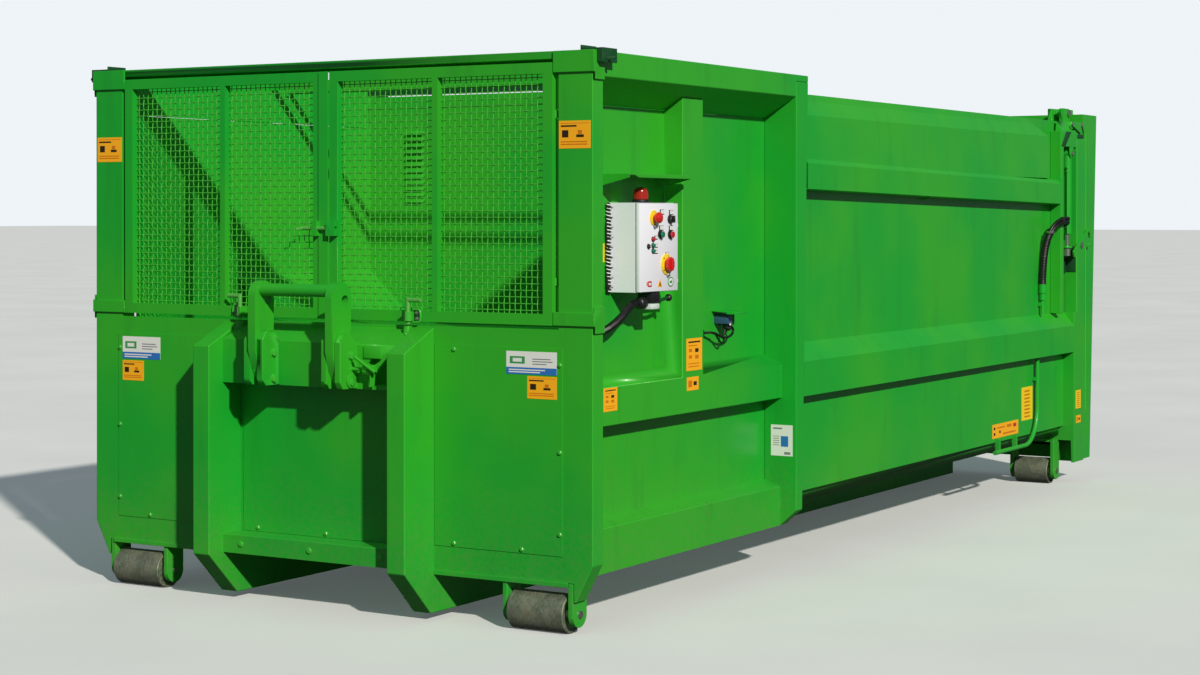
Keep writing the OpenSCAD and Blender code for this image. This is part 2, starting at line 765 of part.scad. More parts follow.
// Open box ram with a top plate that slides under the deck
module press_ram() {
    t = 16;
    z0 = floor_z + 3;
    z1 = floor_z + ram_h - 20;
    gap = 8;
    w = chamber_hw - gap;
    color([0.45, 0.46, 0.45]) in_frame() {
        box([ram_x1 - t, -w, z0], [ram_x1, w, z1]);
        box([ram_x0, -w, z1], [ram_x1, w, z1 + 12]);
        both() box([bulk_x + 40, w - t, z0], [ram_x1 - t, w, z1]);
        both() box([ram_x1 - t - 90, barrel_y - 60, barrel_z - 80], [ram_x1 - t, barrel_y - 40, barrel_z + 80]);
        both() box([ram_x1 - t - 90, barrel_y + 40, barrel_z - 80], [ram_x1 - t, barrel_y + 60, barrel_z + 80]);
        both() rod_x(barrel_y, barrel_z, rod_r, barrel_x0 + 60, ram_x1 - t);
    }
}

// Two hydraulic cylinder barrels, flanged to the bulkhead
module ram_barrels() {
    wall = 10;
    color([0.2, 0.22, 0.24]) in_frame() both() {
        difference() {
            rod_x(barrel_y, barrel_z, barrel_r, barrel_x0, barrel_x1);
            rod_x(barrel_y, barrel_z, barrel_r - wall, barrel_x0 + 20, barrel_x1 - 40);
            rod_x(barrel_y, barrel_z, rod_r + run, barrel_x0 + 30, barrel_x1 + 1);
        }
        difference() {
            box([bulk_x - 20, barrel_y - 90, barrel_z - 90], [bulk_x, barrel_y + 90, barrel_z + 90]);
            rod_x(barrel_y, barrel_z, barrel_r - 1, bulk_x - 21, bulk_x + 1);
        }
    }
}

// Hydraulic power pack in the machine room: tank, motor and valve block
module power_pack() {
    y0 = -hw + post_w + 120;
    z0 = floor_z;
    color([0.25, 0.28, 0.3]) in_frame() {
        box([120, y0, z0], [400, y0 + 420, z0 + 280]);
        box([112, y0 - 8, z0 + 280], [408, y0 + 428, z0 + 288]);
        rod_z(260, y0 + 300, 90, z0 + 288, z0 + 340);
        rod_z(260, y0 + 300, 82, z0 + 340, z0 + 600);
        box([170, y0 + 20, z0 + 288], [330, y0 + 160, z0 + 400]);
        rod_z(200, y0 + 190, 30, z0 + 288, z0 + 360);
    }
}

// Channel across the underside of the floor, open downwards
module bearer(x, y0, y1, z0) {
    t = 5;
    difference() {
        box([x, y0, z0], [x + 60, y1, floor_z - floor_t]);
        box([x + t, y0 - 1, z0 - 1], [x + 60 - t, y1 + 1, floor_z - floor_t - t]);
    }
}

// ---- container box ----

module body_shell() {
    wall = 6;
    x0 = press_l + wall;
    back_z0 = floor_z + ram_h + 20;
    color(green) in_frame() {
        both() box([box_x0, box_y - box_t, floor_z], [end_x0, box_y, roof_z]);
        along_x(box_x0, end_x0, folded([[-box_y, roof_z - 8], [-box_y + 60, roof_z], [box_y - 60, roof_z],
            [box_y, roof_z - 8]], -box_t));
        for (i = [1:5]) {
            x = box_x0 + i * (end_x0 - box_x0) / 6;
            box([x - 40, -box_y + 240, roof_z], [x + 40, box_y - 240, roof_z + 12]);
        }
        vent_y = chamber_hw - 123;
        // front wall of the box above the chamber mouth, with a slotted vent
        difference() {
            box([press_l, -recess_y, back_z0], [press_l + wall, recess_y, rail_edge_z]);
            for (i = [0:11]) {
                z = rail_edge_z - 464 + i * 30;
                box([press_l - 1, vent_y, z], [press_l + wall + 1, vent_y + 100, z + 14]);
            }
        }
        both() box([press_l, chamber_hw, floor_z], [press_l + wall, recess_y, back_z0]);
        // closing sheets between the hopper posts and the box sides
        both() box([box_x0 - 6, recess_y, floor_z - floor_t], [box_x0, box_y, post_z(box_x0 - 6)]);
        both() box([press_l + wall, recess_y - box_t, floor_z], [box_x0, recess_y, rail_edge_z]);
        box([press_l, -recess_y, floor_z - floor_t], [box_x0, recess_y, floor_z]);
        box([box_x0, -box_y, floor_z - floor_t], [end_x0, box_y, floor_z]);
        // cross bearers and dusty side sill under the floor
        for (i = [0:8]) {
            x = box_x0 + 30 + i * (end_x0 - box_x0 - 210) / 8;
            both() bearer(x, rail_y1, box_y - 90, floor_z - 60);
            bearer(x, -rail_y1, rail_y1, rail_top);
        }
        both() difference() {
            box([box_x0, box_y - 90, floor_z - 60], [end_x0, box_y - 30, floor_z - floor_t]);
            box([box_x0 - 1, box_y - 84, floor_z - 54], [end_x0 + 1, box_y - 36, floor_z - floor_t - 6]);
        }
    }
}

// A folded sheet on the container side, cut off flush with the wall
module pressed(x0, x1, path) {
    intersection() {
        along_x(x0, x1, folded(path, -box_t));
        box([x0, box_y, 0], [x1, hw + 1, body_h]);
    }
}

// Folded stiffeners on the container sides
module side_ribs() {
    o = hw;
    i = box_y;
    x1 = box_l - bay_l;
    band_x1 = box_l - bay_l - 155;
    tilt = atan(rib_fall / (x1 - box_x0));
    top_band = [[i, roof_z], [i + 6, roof_z - 31], [o - 22, roof_z - 98], [o - 14, band_z], [i, band_z - 8]];
    waist = [[i, waist_z + 156], [o - 14, waist_z + 142], [o, waist_z + 122], [o, waist_z + 8], [i, waist_z]];
    mid = [[i, mid_z + 240], [o, mid_z + 160], [o, mid_z + 6], [i, mid_z]];
    color(green) in_frame() both() {
        difference() {
            union() {
                difference() {
                    pressed(box_x0, band_x1, top_band);
                    along_y(i - 1, o + 1, [[band_x1 - 240, roof_z + 1], [band_x1 + 1, roof_z - 96],
                        [band_x1 + 1, roof_z + 1]]);
                }
                intersection() {
                    translate([box_x0, 0, waist_z]) rotate([0, tilt, 0]) translate([0, 0, -waist_z])
                        along_x(-20, x1 - box_x0 + 20, folded(waist, -box_t));
                    box([box_x0, i, waist_z - 190], [x1, o + 1, waist_z + 210]);
                }
                pressed(press_l + rear_post_d0 + 8, end_x0, mid);
                box([x1 - 4, i, waist_z + 10 - rib_fall], [x1, o, band_z]);
            }
            rear_post();
        }
        rod_y(box_l - 2290, waist_z - 26, 6, i, i + 30);
    }
}

// Rear frame: upper side boxes, lower posts, head and sill
module rear_frame() {
    x_up = box_l - bay_l;
    head_z = roof_z - 80;
    color(green) in_frame() {
        both() {
            // narrow front post of the lock bay
            box([x_up, box_y, bay_z], [x_up + 50, hw, roof_z - 60]);
            // bay floor and rear post
            difference() {
                box([end_x0, recess_y, frame_z], [end_x1, hw, roof_z]);
                box([end_x0 - 1, box_y, bay_z], [box_l - 125, hw + 1, roof_z - 150]);
                box([end_x0 + 10, recess_y + 10, frame_z + 10], [end_x1 - 10, hw - 10, mid_z - 30]);
                box([end_x0 + 10, recess_y + 10, mid_z - 20], [end_x1 - 10, box_y - 10, roof_z - 10]);
                box([box_l - 115, box_y - 9, bay_z + 10], [end_x1 - 10, hw - 10, roof_z - 160]);
            }
            // skirt plate outside the roller and the foot behind it
            box([end_x0, hw - 20, foot_z], [end_x1, hw, frame_z]);
            box([rear_x + roller_r + 15, recess_y, foot_z], [end_x1, hw - 20, frame_z]);
            along_x(x_up + 50, end_x0, [[box_y, roof_z - 150], [hw, roof_z - 150], [hw, roof_z - 60],
                [box_y + 20, roof_z]]);
            // hinge ears on the head
            for (y = ear_ys) difference() {
                union() {
                    box([pin_x - 90, y, roof_z], [pin_x + ear_r, y + ear_t, pin_z]);
                    rod_y(pin_x, pin_z, ear_r, y, y + ear_t);
                    box([pin_x - 90, y, pin_z], [pin_x, y + ear_t, pin_z + ear_r]);
                }
                rod_y(pin_x, pin_z, tail_pin_r + fit / 2, y - 1, y + ear_t + 1);
            }
        }
        difference() {
            box([end_x0, -recess_y, head_z], [end_x1, recess_y, roof_z]);
            box([end_x0 + 8, -recess_y + 8, head_z + 8], [end_x1 - 8, recess_y - 8, roof_z - 8]);
        }
        difference() {
            box([end_x0, -recess_y, frame_z], [end_x1, recess_y, floor_z]);
            box([end_x0 + 8, -recess_y + 8, frame_z + 8], [end_x1 - 8, recess_y - 8, floor_z - 8]);
        }
    }
}

// ---- tailgate ----

// Top-hung door: a hollow box that gets deeper towards its top
module tailgate() {
    t = 6;
    outer = [[tail_x0, tail_z0], [tail_x0 + tail_d, tail_z0], [tail_x0 + tail_d + tail_lean, tail_z1],
        [tail_x0, tail_z1]];
    inner = [[tail_x0 + t, tail_z0 + t], [tail_x0 + tail_d - t, tail_z0 + t],
        [tail_x0 + tail_d + tail_lean - t, tail_z1 - t], [tail_x0 + t, tail_z1 - t]];
    color(green) in_frame() {
        difference() {
            along_y(-tail_y, tail_y, outer);
            along_y(-tail_y + t, tail_y - t, inner);
            // pressed grooves in the side faces
            both() for (x = [tail_x0 + 30, tail_x0 + 74])
                box([x, tail_y - 3, tail_z0 + 60], [x + 12, tail_y + 1, tail_z1 - 90]);
        }
        // ribs across the rear face
        for (z = rib_zs) {
            x = tail_x0 + tail_d + tail_slope * (z - tail_z0);
            along_y(-tail_y + 90, tail_y - 90, [[x - 2, z], [x + tail_rib + tail_slope * 20, z + 20],
                [x + tail_rib + tail_slope * 70, z + 70], [x - 2 + tail_slope * 90, z + 90]]);
        }
        both() {
            difference() {
                union() {
                    rod_y(pin_x, pin_z, ear_r, ear_ys[0] + ear_t + 1, ear_ys[1] - 1);
                    box([pin_x, ear_ys[0] + ear_t + 1, pin_z - ear_r], [tail_x0, ear_ys[1] - 1, pin_z + ear_r]);
                    box([tail_x0, ear_ys[0] + ear_t + 1, tail_z1], [tail_x0 + 110, ear_ys[1] - 1, pin_z + ear_r]);
                }
                rod_y(pin_x, pin_z, tail_pin_r + run, ear_ys[0], ear_ys[1] + ear_t);
            }
            rod_y(stud_x, lock_z, stud_r, tail_y - t, lock_y + lock_t + 3);
        }
    }
}

module tailgate_seal() {
    y = hw - 70;
    z0 = lip_z + 10;
    z1 = roof_z - 30;
    w = 30;
    color([0.05, 0.05, 0.05]) in_frame() difference() {
        box([tail_x0 - tail_gap + fit, -y, z0], [tail_x0, y, z1]);
        box([tail_x0 - tail_gap, -y + w, z0 + w], [tail_x0 + 1, y - w, z1 - w]);
    }
}

module tailgate_pins() {
    color("silver") in_frame() both() {
        rod_y(pin_x, pin_z, tail_pin_r, ear_ys[0] - 4, ear_ys[1] + ear_t + 4);
        rod_y(pin_x, pin_z, tail_pin_r + 6, ear_ys[1] + ear_t + 4, ear_ys[1] + ear_t + 10);
        rod_y(lock_x, lock_z, lock_pin_r, hw, lock_y + lock_t + 2);
        rod_y(lock_x, lock_z, lock_pin_r + 6, lock_y + lock_t + 2, lock_y + lock_t + 7);
    }
}

// Upright cylinders in the lock bays of the rear frame
module lock_barrels() {
    hose_end = hose_pts[len(hose_pts) - 1];
    top = roof_z - 200;
    bottom = lock_z + 70;
    color(green) in_frame() both() difference() {
        union() {
            rod_z(lock_rod_x, lock_rod_y, lock_barrel_r, bottom, top);
            rod_y(lock_rod_x, top + 13, 24, lock_rod_y - 20, lock_rod_y + 20);
            rod_y(lock_rod_x, top + 13, 10, box_y, lock_rod_y - 20);
            rod_x(-hose_end[1], hose_end[2], 15, hose_end[0], lock_rod_x);
        }
        rod_z(lock_rod_x, lock_rod_y, lock_barrel_r - 8, bottom + 30, top - 20);
        rod_z(lock_rod_x, lock_rod_y, lock_rod_r + run, bottom - 1, bottom + 40);
    }
}

module lock_rods() {
    color("silver") in_frame() both() {
        rod_z(lock_rod_x, lock_rod_y, lock_rod_r, lock_z - 20, roof_z - 326);
        rod_z(lock_rod_x, lock_rod_y, 20, lock_z - 60, lock_z - 20);
    }
}

// Hooked arm that draws the tailgate shut; it is drawn in its open position
module lock_arms() {
    l = stud_x - lock_x;
    color(green) in_frame() both() translate([lock_x, lock_y, lock_z]) rotate([0, -lock_open, 0])
        difference() {
            along_y(0, lock_t, [[-130, -18], [-20, -32], [l - 26, -22], [l - 16, 0], [l - 16, 15],
                [l + 16, 15], [l + 16, -30], [l + 34, -30], [l + 40, 30], [-20, 32], [-130, 18]]);
            rod_y(0, 0, lock_pin_r + run, -1, lock_t + 1);
        }
}

// ---- gates ----

module gate_gudgeons() {
    color(green) in_frame() both() for (z = hinge_zs) {
        rod_z(hinge_x, hinge_y, gate_pin_d / 2, z - 12, z + knuckle_h + 12);
        for (z0 = [z - 13, z + knuckle_h + 1]) {
            rod_z(hinge_x, hinge_y, knuckle_r - 1, z0, z0 + 12);
            box([hinge_x - 8, hinge_y, z0], [hinge_x + 8, hw - post_w, z0 + 12]);
        }
    }
}

// One leaf with its knuckles, seen as the left one
module gate_leaf() {
    difference() {
        union() {
            for (y = [[meet, meet + stile_w], [mid_y - bar_w / 2, mid_y + bar_w / 2], [gate_y1 - stile_w, gate_y1]])
                box([leaf_x0, y[0], gate_z0], [leaf_x1, y[1], gate_z1]);
            box([leaf_x0, meet, gate_z0], [leaf_x1, gate_y1, gate_z0 + stile_w]);
            box([leaf_x0, meet, gate_z1 - stile_w], [leaf_x1, gate_y1, gate_z1]);
            for (z = hinge_zs) {
                rod_z(hinge_x, hinge_y, knuckle_r, z, z + knuckle_h);
                box([leaf_x1 - 14, gate_y1 - 2, z], [hinge_x, hinge_y, z + knuckle_h]);
            }
        }
        for (z = hinge_zs) rod_z(hinge_x, hinge_y, gate_pin_d / 2 + run, z - 1, z + knuckle_h + 1);
    }
}

// Guide block of a drop bolt on the lower rail of a leaf
module drop_guide() {
    difference() {
        box([drop_x - 16, drop_y - 16, gate_z0 + 3], [leaf_x0, drop_y + 16, gate_z0 + stile_w - 2]);
        rod_z(drop_x, drop_y, drop_r + run, gate_z0, gate_z0 + stile_w);
    }
}

module gate_left() {
    color(green) in_frame() {
        gate_leaf();
        drop_guide();
        // cover strip over the joint of the leaves
        box([leaf_x0 - 6, meet_gap - meet, gate_z0], [leaf_x0, meet + 10, gate_z1]);
        difference() {
            box([gate_bolt_x - 13, meet + 4, gate_bolt_z - 30], [leaf_x0 - 6, meet + 28, gate_bolt_z + 30]);
            rod_y(gate_bolt_x, gate_bolt_z, gate_bolt_r + run, meet, meet + 30);
        }
    }
}

module gate_right() {
    color(green) in_frame() mirror([0, 1, 0]) {
        gate_leaf();
        drop_guide();
        difference() {
            box([gate_bolt_x - 13, meet + 4, gate_bolt_z - 30], [leaf_x0, meet + 46, gate_bolt_z + 30]);
            rod_y(gate_bolt_x, gate_bolt_z, gate_bolt_r + 1, meet, meet + 47);
        }
    }
}

// Wire mesh in the two fields of a leaf, as flat strands
module leaf_mesh() {
    z0 = gate_z0 + stile_w;
    z1 = gate_z1 - stile_w;
    for (f = [[meet + stile_w, mid_y - bar_w / 2], [mid_y + bar_w / 2, gate_y1 - stile_w]]) {
        dy = (f[1] - f[0] - strand) / mesh_nx;
        dz = (z1 - z0 - strand) / mesh_nz;
        difference() {
            box([leaf_x1 - 10, f[0], z0], [leaf_x1 - 6, f[1], z1]);
            for (i = [0:mesh_nx - 1]) for (k = [0:mesh_nz - 1])
                box([leaf_x1 - 11, f[0] + strand + i * dy, z0 + strand + k * dz],
                    [leaf_x1 - 5, f[0] + (i + 1) * dy, z0 + (k + 1) * dz]);
        }
    }
}

module gate_left_mesh() {
    color(green) in_frame() leaf_mesh();
}

module gate_right_mesh() {
    color(green) in_frame() mirror([0, 1, 0]) leaf_mesh();
}

module gate_bolt() {
    y1 = meet + 28 + gate_bolt_travel + 20;
    color([0.3, 0.3, 0.32]) in_frame() {
        rod_y(gate_bolt_x, gate_bolt_z, gate_bolt_r, meet_gap - meet + 2, y1);
        box([gate_bolt_x - 45, y1 - 10, gate_bolt_z - 5], [gate_bolt_x - 4, y1, gate_bolt_z + 5]);
    }
}

// Cranked bolt that drops into a keeper on the hook beam
module drop_bolt() {
    top = gate_z0 + stile_w + drop_travel + 24;
    rod_z(drop_x, drop_y, drop_r, drop_tip, top);
    rod_y(drop_x, top - drop_r, drop_r, drop_y, drop_y + 62);
}

module drop_bolt_left() {
    color([0.3, 0.3, 0.32]) in_frame() drop_bolt();
}

module drop_bolt_right() {
    color([0.3, 0.3, 0.32]) in_frame() mirror([0, 1, 0]) drop_bolt();
}

// ---- control cabinet and electrics ----

module cabinet_hood() {
    z = cab_z + cab_h + 112;
    x0 = cab_x - 95;
    x1 = cab_x + cab_w + 98;
    y = 10 - hw;
    color(green) in_frame() {
        box([x0, y, z - 4], [x1, cab_y1, z]);
        along_y(y, y + 4, [[x0 + 36, z - 2], [x0 + 80, z - 15], [x1, z - 15], [x1, z - 2]]);
        for (x = [x0, x1 - 4]) along_x(x, x + 4, [[cab_y1, z - 52], [cab_y1, z - 2], [y, z - 2], [y, z - 15]]);
    }
}

module control_cabinet() {
    t = 3;
    hinge = cab_x + cab_w + 7;
    color([0.8, 0.82, 0.8]) in_frame() {
        difference() {
            box([cab_x, door_y + 0.5, cab_z], [cab_x + cab_w, cab_y1, cab_z + cab_h]);
            box([cab_x + t, door_y, cab_z + t], [cab_x + cab_w - t, cab_y1 - t, cab_z + cab_h - t]);
        }
        for (z = [cab_z + 50, cab_z + cab_h - 80]) {
            rod_z(hinge, (face_y + door_y) / 2, 6, z - 16, z - 1);
            rod_z(hinge, (face_y + door_y) / 2, 3, z - 2, z + 14);
            box([cab_x + cab_w, (face_y + door_y) / 2, z - 16], [hinge, door_y + 12, z - 1]);
        }
    }
}

module cabinet_door() {
    hinge = cab_x + cab_w + 7;
    y = (face_y + door_y) / 2;
    color([0.84, 0.86, 0.84]) in_frame() difference() {
        union() {
            box([cab_x, face_y, cab_z + 2], [cab_x + cab_w, door_y, cab_z + cab_h - 2]);
            for (z = [cab_z + 50, cab_z + cab_h - 80]) {
                rod_z(hinge, y, 6, z, z + 15);
                box([cab_x + cab_w - 2, face_y, z], [hinge, y, z + 15]);
            }
            for (p = [estop_p, main_p]) rod_y(p[0], p[1], 30, face_y - 4, face_y);
            for (p = [selector_p, start_p, stop_p]) rod_y(p[0], p[1], 17, face_y - 6, face_y);
            for (p = lamp_ps) rod_y(p[0], p[1], 11, face_y - 10, face_y);
        }
        for (z = [cab_z + 50, cab_z + cab_h - 80]) rod_z(hinge, y, 3 + run, z - 1, z + 16);
        for (p = [estop_p, selector_p, start_p, stop_p, main_p])
            rod_y(p[0], p[1], 8 + run, face_y - 7, door_y + 1);
    }
}

lamp_ps = [[cab_x + 102, cab_z + 208], [cab_x + 102, cab_z + 183], [cab_x + 102, cab_z + 162],
    [cab_x + 66, cab_z + 180]];

// Stem and knob of a control that points towards -Y at a place on the door
module control(p, r, gap, h) {
    rod_y(p[0], p[1], 8, face_y - gap - h, door_y + 4);
    rod_y(p[0], p[1], r, face_y - gap - h, face_y - gap);
}

module emergency_stop() {
    color("red") in_frame() {
        control(estop_p, 15, 4 + press_travel + 1, 10);
        rod_y(estop_p[0], estop_p[1], 21, face_y - 32 - press_travel, face_y - 14 - press_travel);
    }
}

module selector_switch() {
    color([0.06, 0.06, 0.06]) in_frame() {
        control(selector_p, 14, 6.5, 10);
        box([selector_p[0] - 4, face_y - 26, selector_p[1] - 13], [selector_p[0] + 4, face_y - 16, selector_p[1] + 13]);
    }
}

module start_button() {
    color([0.1, 0.5, 0.15]) in_frame() control(start_p, 13, 6 + press_travel + 1, 6);
}

module stop_button() {
    color([0.7, 0.08, 0.06]) in_frame() control(stop_p, 13, 6 + press_travel + 1, 6);
}

module main_switch() {
    color([0.75, 0.08, 0.06]) in_frame() {
        control(main_p, 22, 4.5, 10);
        box([main_p[0] - 6, face_y - 34, main_p[1] - 26], [main_p[0] + 6, face_y - 14, main_p[1] + 26]);
    }
}

module beacon() {
    p = beacon_p;
    color([0.8, 0.1, 0.05]) in_frame() {
        rod_z(p[0], p[1], 34, p[2], p[2] + 14);
        rod_z(p[0], p[1], 28, p[2] + 14, p[2] + 44);
        translate([p[0], p[1], p[2] + 44]) rotate_extrude() polygon([[0, 0], [28, 0], [26, 8], [20, 15], [10, 19],
            [0, 20]]);
    }
}

module power_inlet() {
    y = cable_pts[0][1];
    z = cable_pts[0][2];
    x = cable_pts[0][0];
    color([0.08, 0.08, 0.09]) in_frame() {
        box([x + 66, y - 34, z - 26], [x + 128, y + 34, cab_z]);
        rod_x(y, z, 24, x + 16, x + 66);
        rod_x(y, z, 19, x, x + 16);
        rod_x(y - 10, z + 8, 9, x + 128, x + 250);
        // gland on the hopper side
        end = cable_pts[len(cable_pts) - 1];
        box([end[0] - 34, end[1] - 22, end[2] - 22], [end[0], -recess_y, end[2] + 22]);
    }
}

module inlet_cable() {
    color([0.04, 0.04, 0.05]) in_frame() swept(cable_pts, cable_d, 10);
}

// Remote-control socket under a small hood on the hopper side
module remote_socket() {
    x = loop_pts[0][0];
    y = loop_pts[0][1];
    z = loop_pts[0][2];
    color([0.1, 0.3, 0.12]) in_frame() {
        box([x - 12, y - 17, z + 28], [x + 148, -recess_y, z + 66]);
        rod_z(x, y, 11, z, z + 28);
        along_x(x - 105, x + 210, [[-recess_y, z + 92], [y - 50, z + 74], [y - 50, z + 68], [-recess_y, z + 86]]);
        end = loop_pts[len(loop_pts) - 1];
        box([end[0] - 26, end[1] - 12, end[2] - 14], [end[0], -recess_y, end[2] + 14]);
    }
}

module remote_cable() {
    color([0.04, 0.04, 0.05]) in_frame() swept(loop_pts, loop_d, 8);
}

// Slotted duct that brings the wires up beside the cabinet
module cable_duct() {
    color([0.05, 0.05, 0.06]) in_frame() {
        box([cab_x - 33, -recess_y - 8, cab_z], [cab_x - 5, -recess_y, cab_z + cab_h]);
        for (i = [0:15]) {
            z = cab_z + 6 + i * (cab_h - 18) / 15;
            box([cab_x - 33, -recess_y - 20, z], [cab_x - 5, -recess_y - 8, z + 10]);
        }
    }
}

// ---- hydraulics on the container side ----

module hydraulic_pipe() {
    r = 12;
    y = -box_y - 24;
    x = box_l - 680;
    low = floor_z - 55;
    bend = 200;
    top = hose_pts[0];
    color(green) in_frame() {
        rod_z(x, y, r, low + bend, mid_z - 5);
        translate([x - bend, y, low + bend]) rotate([90, 90, 0]) rotate_extrude(angle = 90)
            translate([bend, 0]) circle(r);
        rod_x(y, low, r, x - 670, x - bend);
        for (d = [600, 340]) box([x - d, y, low - 6], [x - d + 20, -box_y, floor_z + 15]);
        box([x - 16, y, mid_z - 130], [x + 16, -box_y, mid_z - 110]);
        rod_z(top[0], top[1], 10, bay_z, top[2] - 90);
        rod_z(top[0], top[1], 17, top[2] - 90, top[2] - 50);
        rod_z(top[0], top[1], 22, top[2] - 50, top[2]);
        box([top[0] - 14, top[1], bay_z + 50], [top[0] + 14, -box_y, bay_z + 70]);
    }
}

module hose_bundle() {
    color([0.03, 0.03, 0.04]) in_frame() swept(hose_pts, hose_d, 12);
}

// ---- plain labels ----

// Thin plate on a face that looks towards -X: [y0, y1, z0, z1] at x
module front_label(p, x) {
    box([x - 1, p[0], p[2]], [x, p[1], p[3]]);
}

// Thin plate on a face that looks towards -Y: [x0, x1, z0, z1] at y
module side_label(p, y) {
    box([p[0], y - 1, p[2]], [p[1], y, p[3]]);
}

module labels() {
    color([0.9, 0.9, 0.88]) in_frame() {
        // on the hook-end panels and posts
        front_label([hw - 368, hw - 156, wall_z - 181, wall_z - 86], -panel_t);
        front_label([hw - 275, hw - 156, wall_z - 273, wall_z - 188], -panel_t);
        front_label([156 - hw, 383 - hw, wall_z - 173, wall_z - 86], -panel_t);
        front_label([156 - hw, 288 - hw, wall_z - 264, wall_z - 179], -panel_t);
        front_label([hw - 149, hw - 10, body_h - 391, body_h - 286], 0);
        front_label([9 - hw, 148 - hw, body_h - 368, body_h - 264], 0);
        // beside the cabinet and on the upper rib of the hopper
        side_label([cab_x - 80, cab_x - 35, cab_z + 119, cab_z + 192], -recess_y);
        side_label([pillar_x0 + 31, pillar_x0 + 165, 944, 1076], -rib_y);
        side_label([pillar_x0 + 35, pillar_x0 + 135, 863, 918], -rib_y);
        side_label([cab_x - 190, cab_x - 87, 828, 918], -rib_y);
        // on the rear hopper post and the container
        front_label([18 - hw, 124 - hw, 515, 652], press_l);
        side_label([box_l - 870, box_l - 695, 424, 610], -box_y);
        side_label([box_l - 1325, box_l - 925, 362, 438], -box_y);
        side_label([box_l - 138, box_l - 50, 440, 547], -hw);
        side_label([box_l - 132, box_l - 52, 355, 399], -hw);
    }
}

corner_posts();
top_frame();
corner_bands();
corner_brackets();
front_wall();
service_panel_left();
service_panel_right();
centre_panel();
bolts();
skid_rails();
hook_beam();
hook_bow();
front_crossbar();
roller_brackets();
roller_axles();
roller_front_left();
roller_front_right();
roller_rear_left();
roller_rear_right();
hopper_side_left();
hopper_side_right();
press_chamber();
press_ram();
ram_barrels();
power_pack();
body_shell();
side_ribs();
rear_frame();
tailgate();
tailgate_seal();
tailgate_pins();
lock_barrels();
lock_rods();
lock_arms();
gate_gudgeons();
gate_left();
gate_left_mesh();
gate_right();
gate_right_mesh();
gate_bolt();
drop_bolt_left();
drop_bolt_right();
cabinet_hood();
control_cabinet();
cabinet_door();
emergency_stop();
selector_switch();
start_button();
stop_button();
main_switch();
beacon();
power_inlet();
inlet_cable();
remote_socket();
remote_cable();
cable_duct();
hydraulic_pipe();
hose_bundle();
labels();
pull_lever();
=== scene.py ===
# Waste press container: finishes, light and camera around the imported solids.
# Lengths are metres. +X runs from the hook end to the tailgate, -Y is the cabinet side, +Z is up.
import json
import math

import bmesh
import bpy
from mathutils import Matrix, Vector

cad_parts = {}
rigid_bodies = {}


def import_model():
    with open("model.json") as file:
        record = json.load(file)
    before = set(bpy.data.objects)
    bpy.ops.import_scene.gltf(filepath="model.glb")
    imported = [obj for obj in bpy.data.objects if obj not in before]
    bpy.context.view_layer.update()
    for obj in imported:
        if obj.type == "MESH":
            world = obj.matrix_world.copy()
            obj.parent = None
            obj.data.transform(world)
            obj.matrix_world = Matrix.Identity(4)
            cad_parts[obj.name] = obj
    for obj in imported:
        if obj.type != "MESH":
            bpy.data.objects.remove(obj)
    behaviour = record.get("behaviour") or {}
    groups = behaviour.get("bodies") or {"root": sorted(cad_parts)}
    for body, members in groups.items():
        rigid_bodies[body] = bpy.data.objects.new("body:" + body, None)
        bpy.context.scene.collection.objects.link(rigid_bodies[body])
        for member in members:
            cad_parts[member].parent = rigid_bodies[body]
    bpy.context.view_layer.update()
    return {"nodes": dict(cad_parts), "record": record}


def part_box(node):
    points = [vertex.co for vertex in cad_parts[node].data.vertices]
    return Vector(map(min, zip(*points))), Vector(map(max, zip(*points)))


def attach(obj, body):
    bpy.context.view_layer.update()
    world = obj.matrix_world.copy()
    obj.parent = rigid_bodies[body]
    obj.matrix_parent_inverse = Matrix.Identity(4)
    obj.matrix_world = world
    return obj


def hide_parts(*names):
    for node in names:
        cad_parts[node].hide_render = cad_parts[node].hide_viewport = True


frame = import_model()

scene = bpy.context.scene
nodes = frame["nodes"]

# The hook-end face, from which the workshop measures along the container
face_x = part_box("service_panel_left")[1].x


def at(x, y, z):
    """A place given in millimetres from the hook-end face, the middle line and the ground."""
    return Vector((face_x + x / 1000, y / 1000, z / 1000))


# ---- node trees ----


class Wire:
    """The output of a node, written in sums as a plain value."""

    def __init__(self, tree, socket):
        self.tree = tree
        self.socket = socket

    def __add__(self, other):
        return self.tree.sum("ADD", self, other)

    def __radd__(self, other):
        return self.tree.sum("ADD", other, self)

    def __sub__(self, other):
        return self.tree.sum("SUBTRACT", self, other)

    def __rsub__(self, other):
        return self.tree.sum("SUBTRACT", other, self)

    def __mul__(self, other):
        return self.tree.sum("MULTIPLY", self, other)

    def __rmul__(self, other):
        return self.tree.sum("MULTIPLY", other, self)

    def __truediv__(self, other):
        return self.tree.sum("DIVIDE", self, other)


class Tree:
    """A node tree of any kind; all its nodes come from add."""

    def __init__(self, tree):
        self.tree = tree
        self.tree.nodes.clear()

    def add(self, kind, settings, sockets, output=0):
        """A node of that type: its settings first, then its sockets' values or wires."""
        node = self.tree.nodes.new(kind)
        for key, value in settings.items():
            setattr(node, key, value)
        for key, value in sockets.items():
            for one in value if isinstance(value, list) else [value]:
                if isinstance(one, Wire):
                    self.tree.links.new(one.socket, node.inputs[key])
                else:
                    node.inputs[key].default_value = one
        return None if output is None else Wire(self, node.outputs[output])

    def sum(self, operation, a, b=0.0):
        return self.add("ShaderNodeMath", {"operation": operation}, {0: a, 1: b})


# ---- camera and light ----

LENS = 65.98
SENSOR = 36.0
LENS_SHIFT = (0.00125, -0.0942)
CAMERA_PLACE = at(-7026, -5481, 1588)
CAMERA_YAW = math.radians(30.907)
CAMERA_PITCH = math.radians(-0.287)

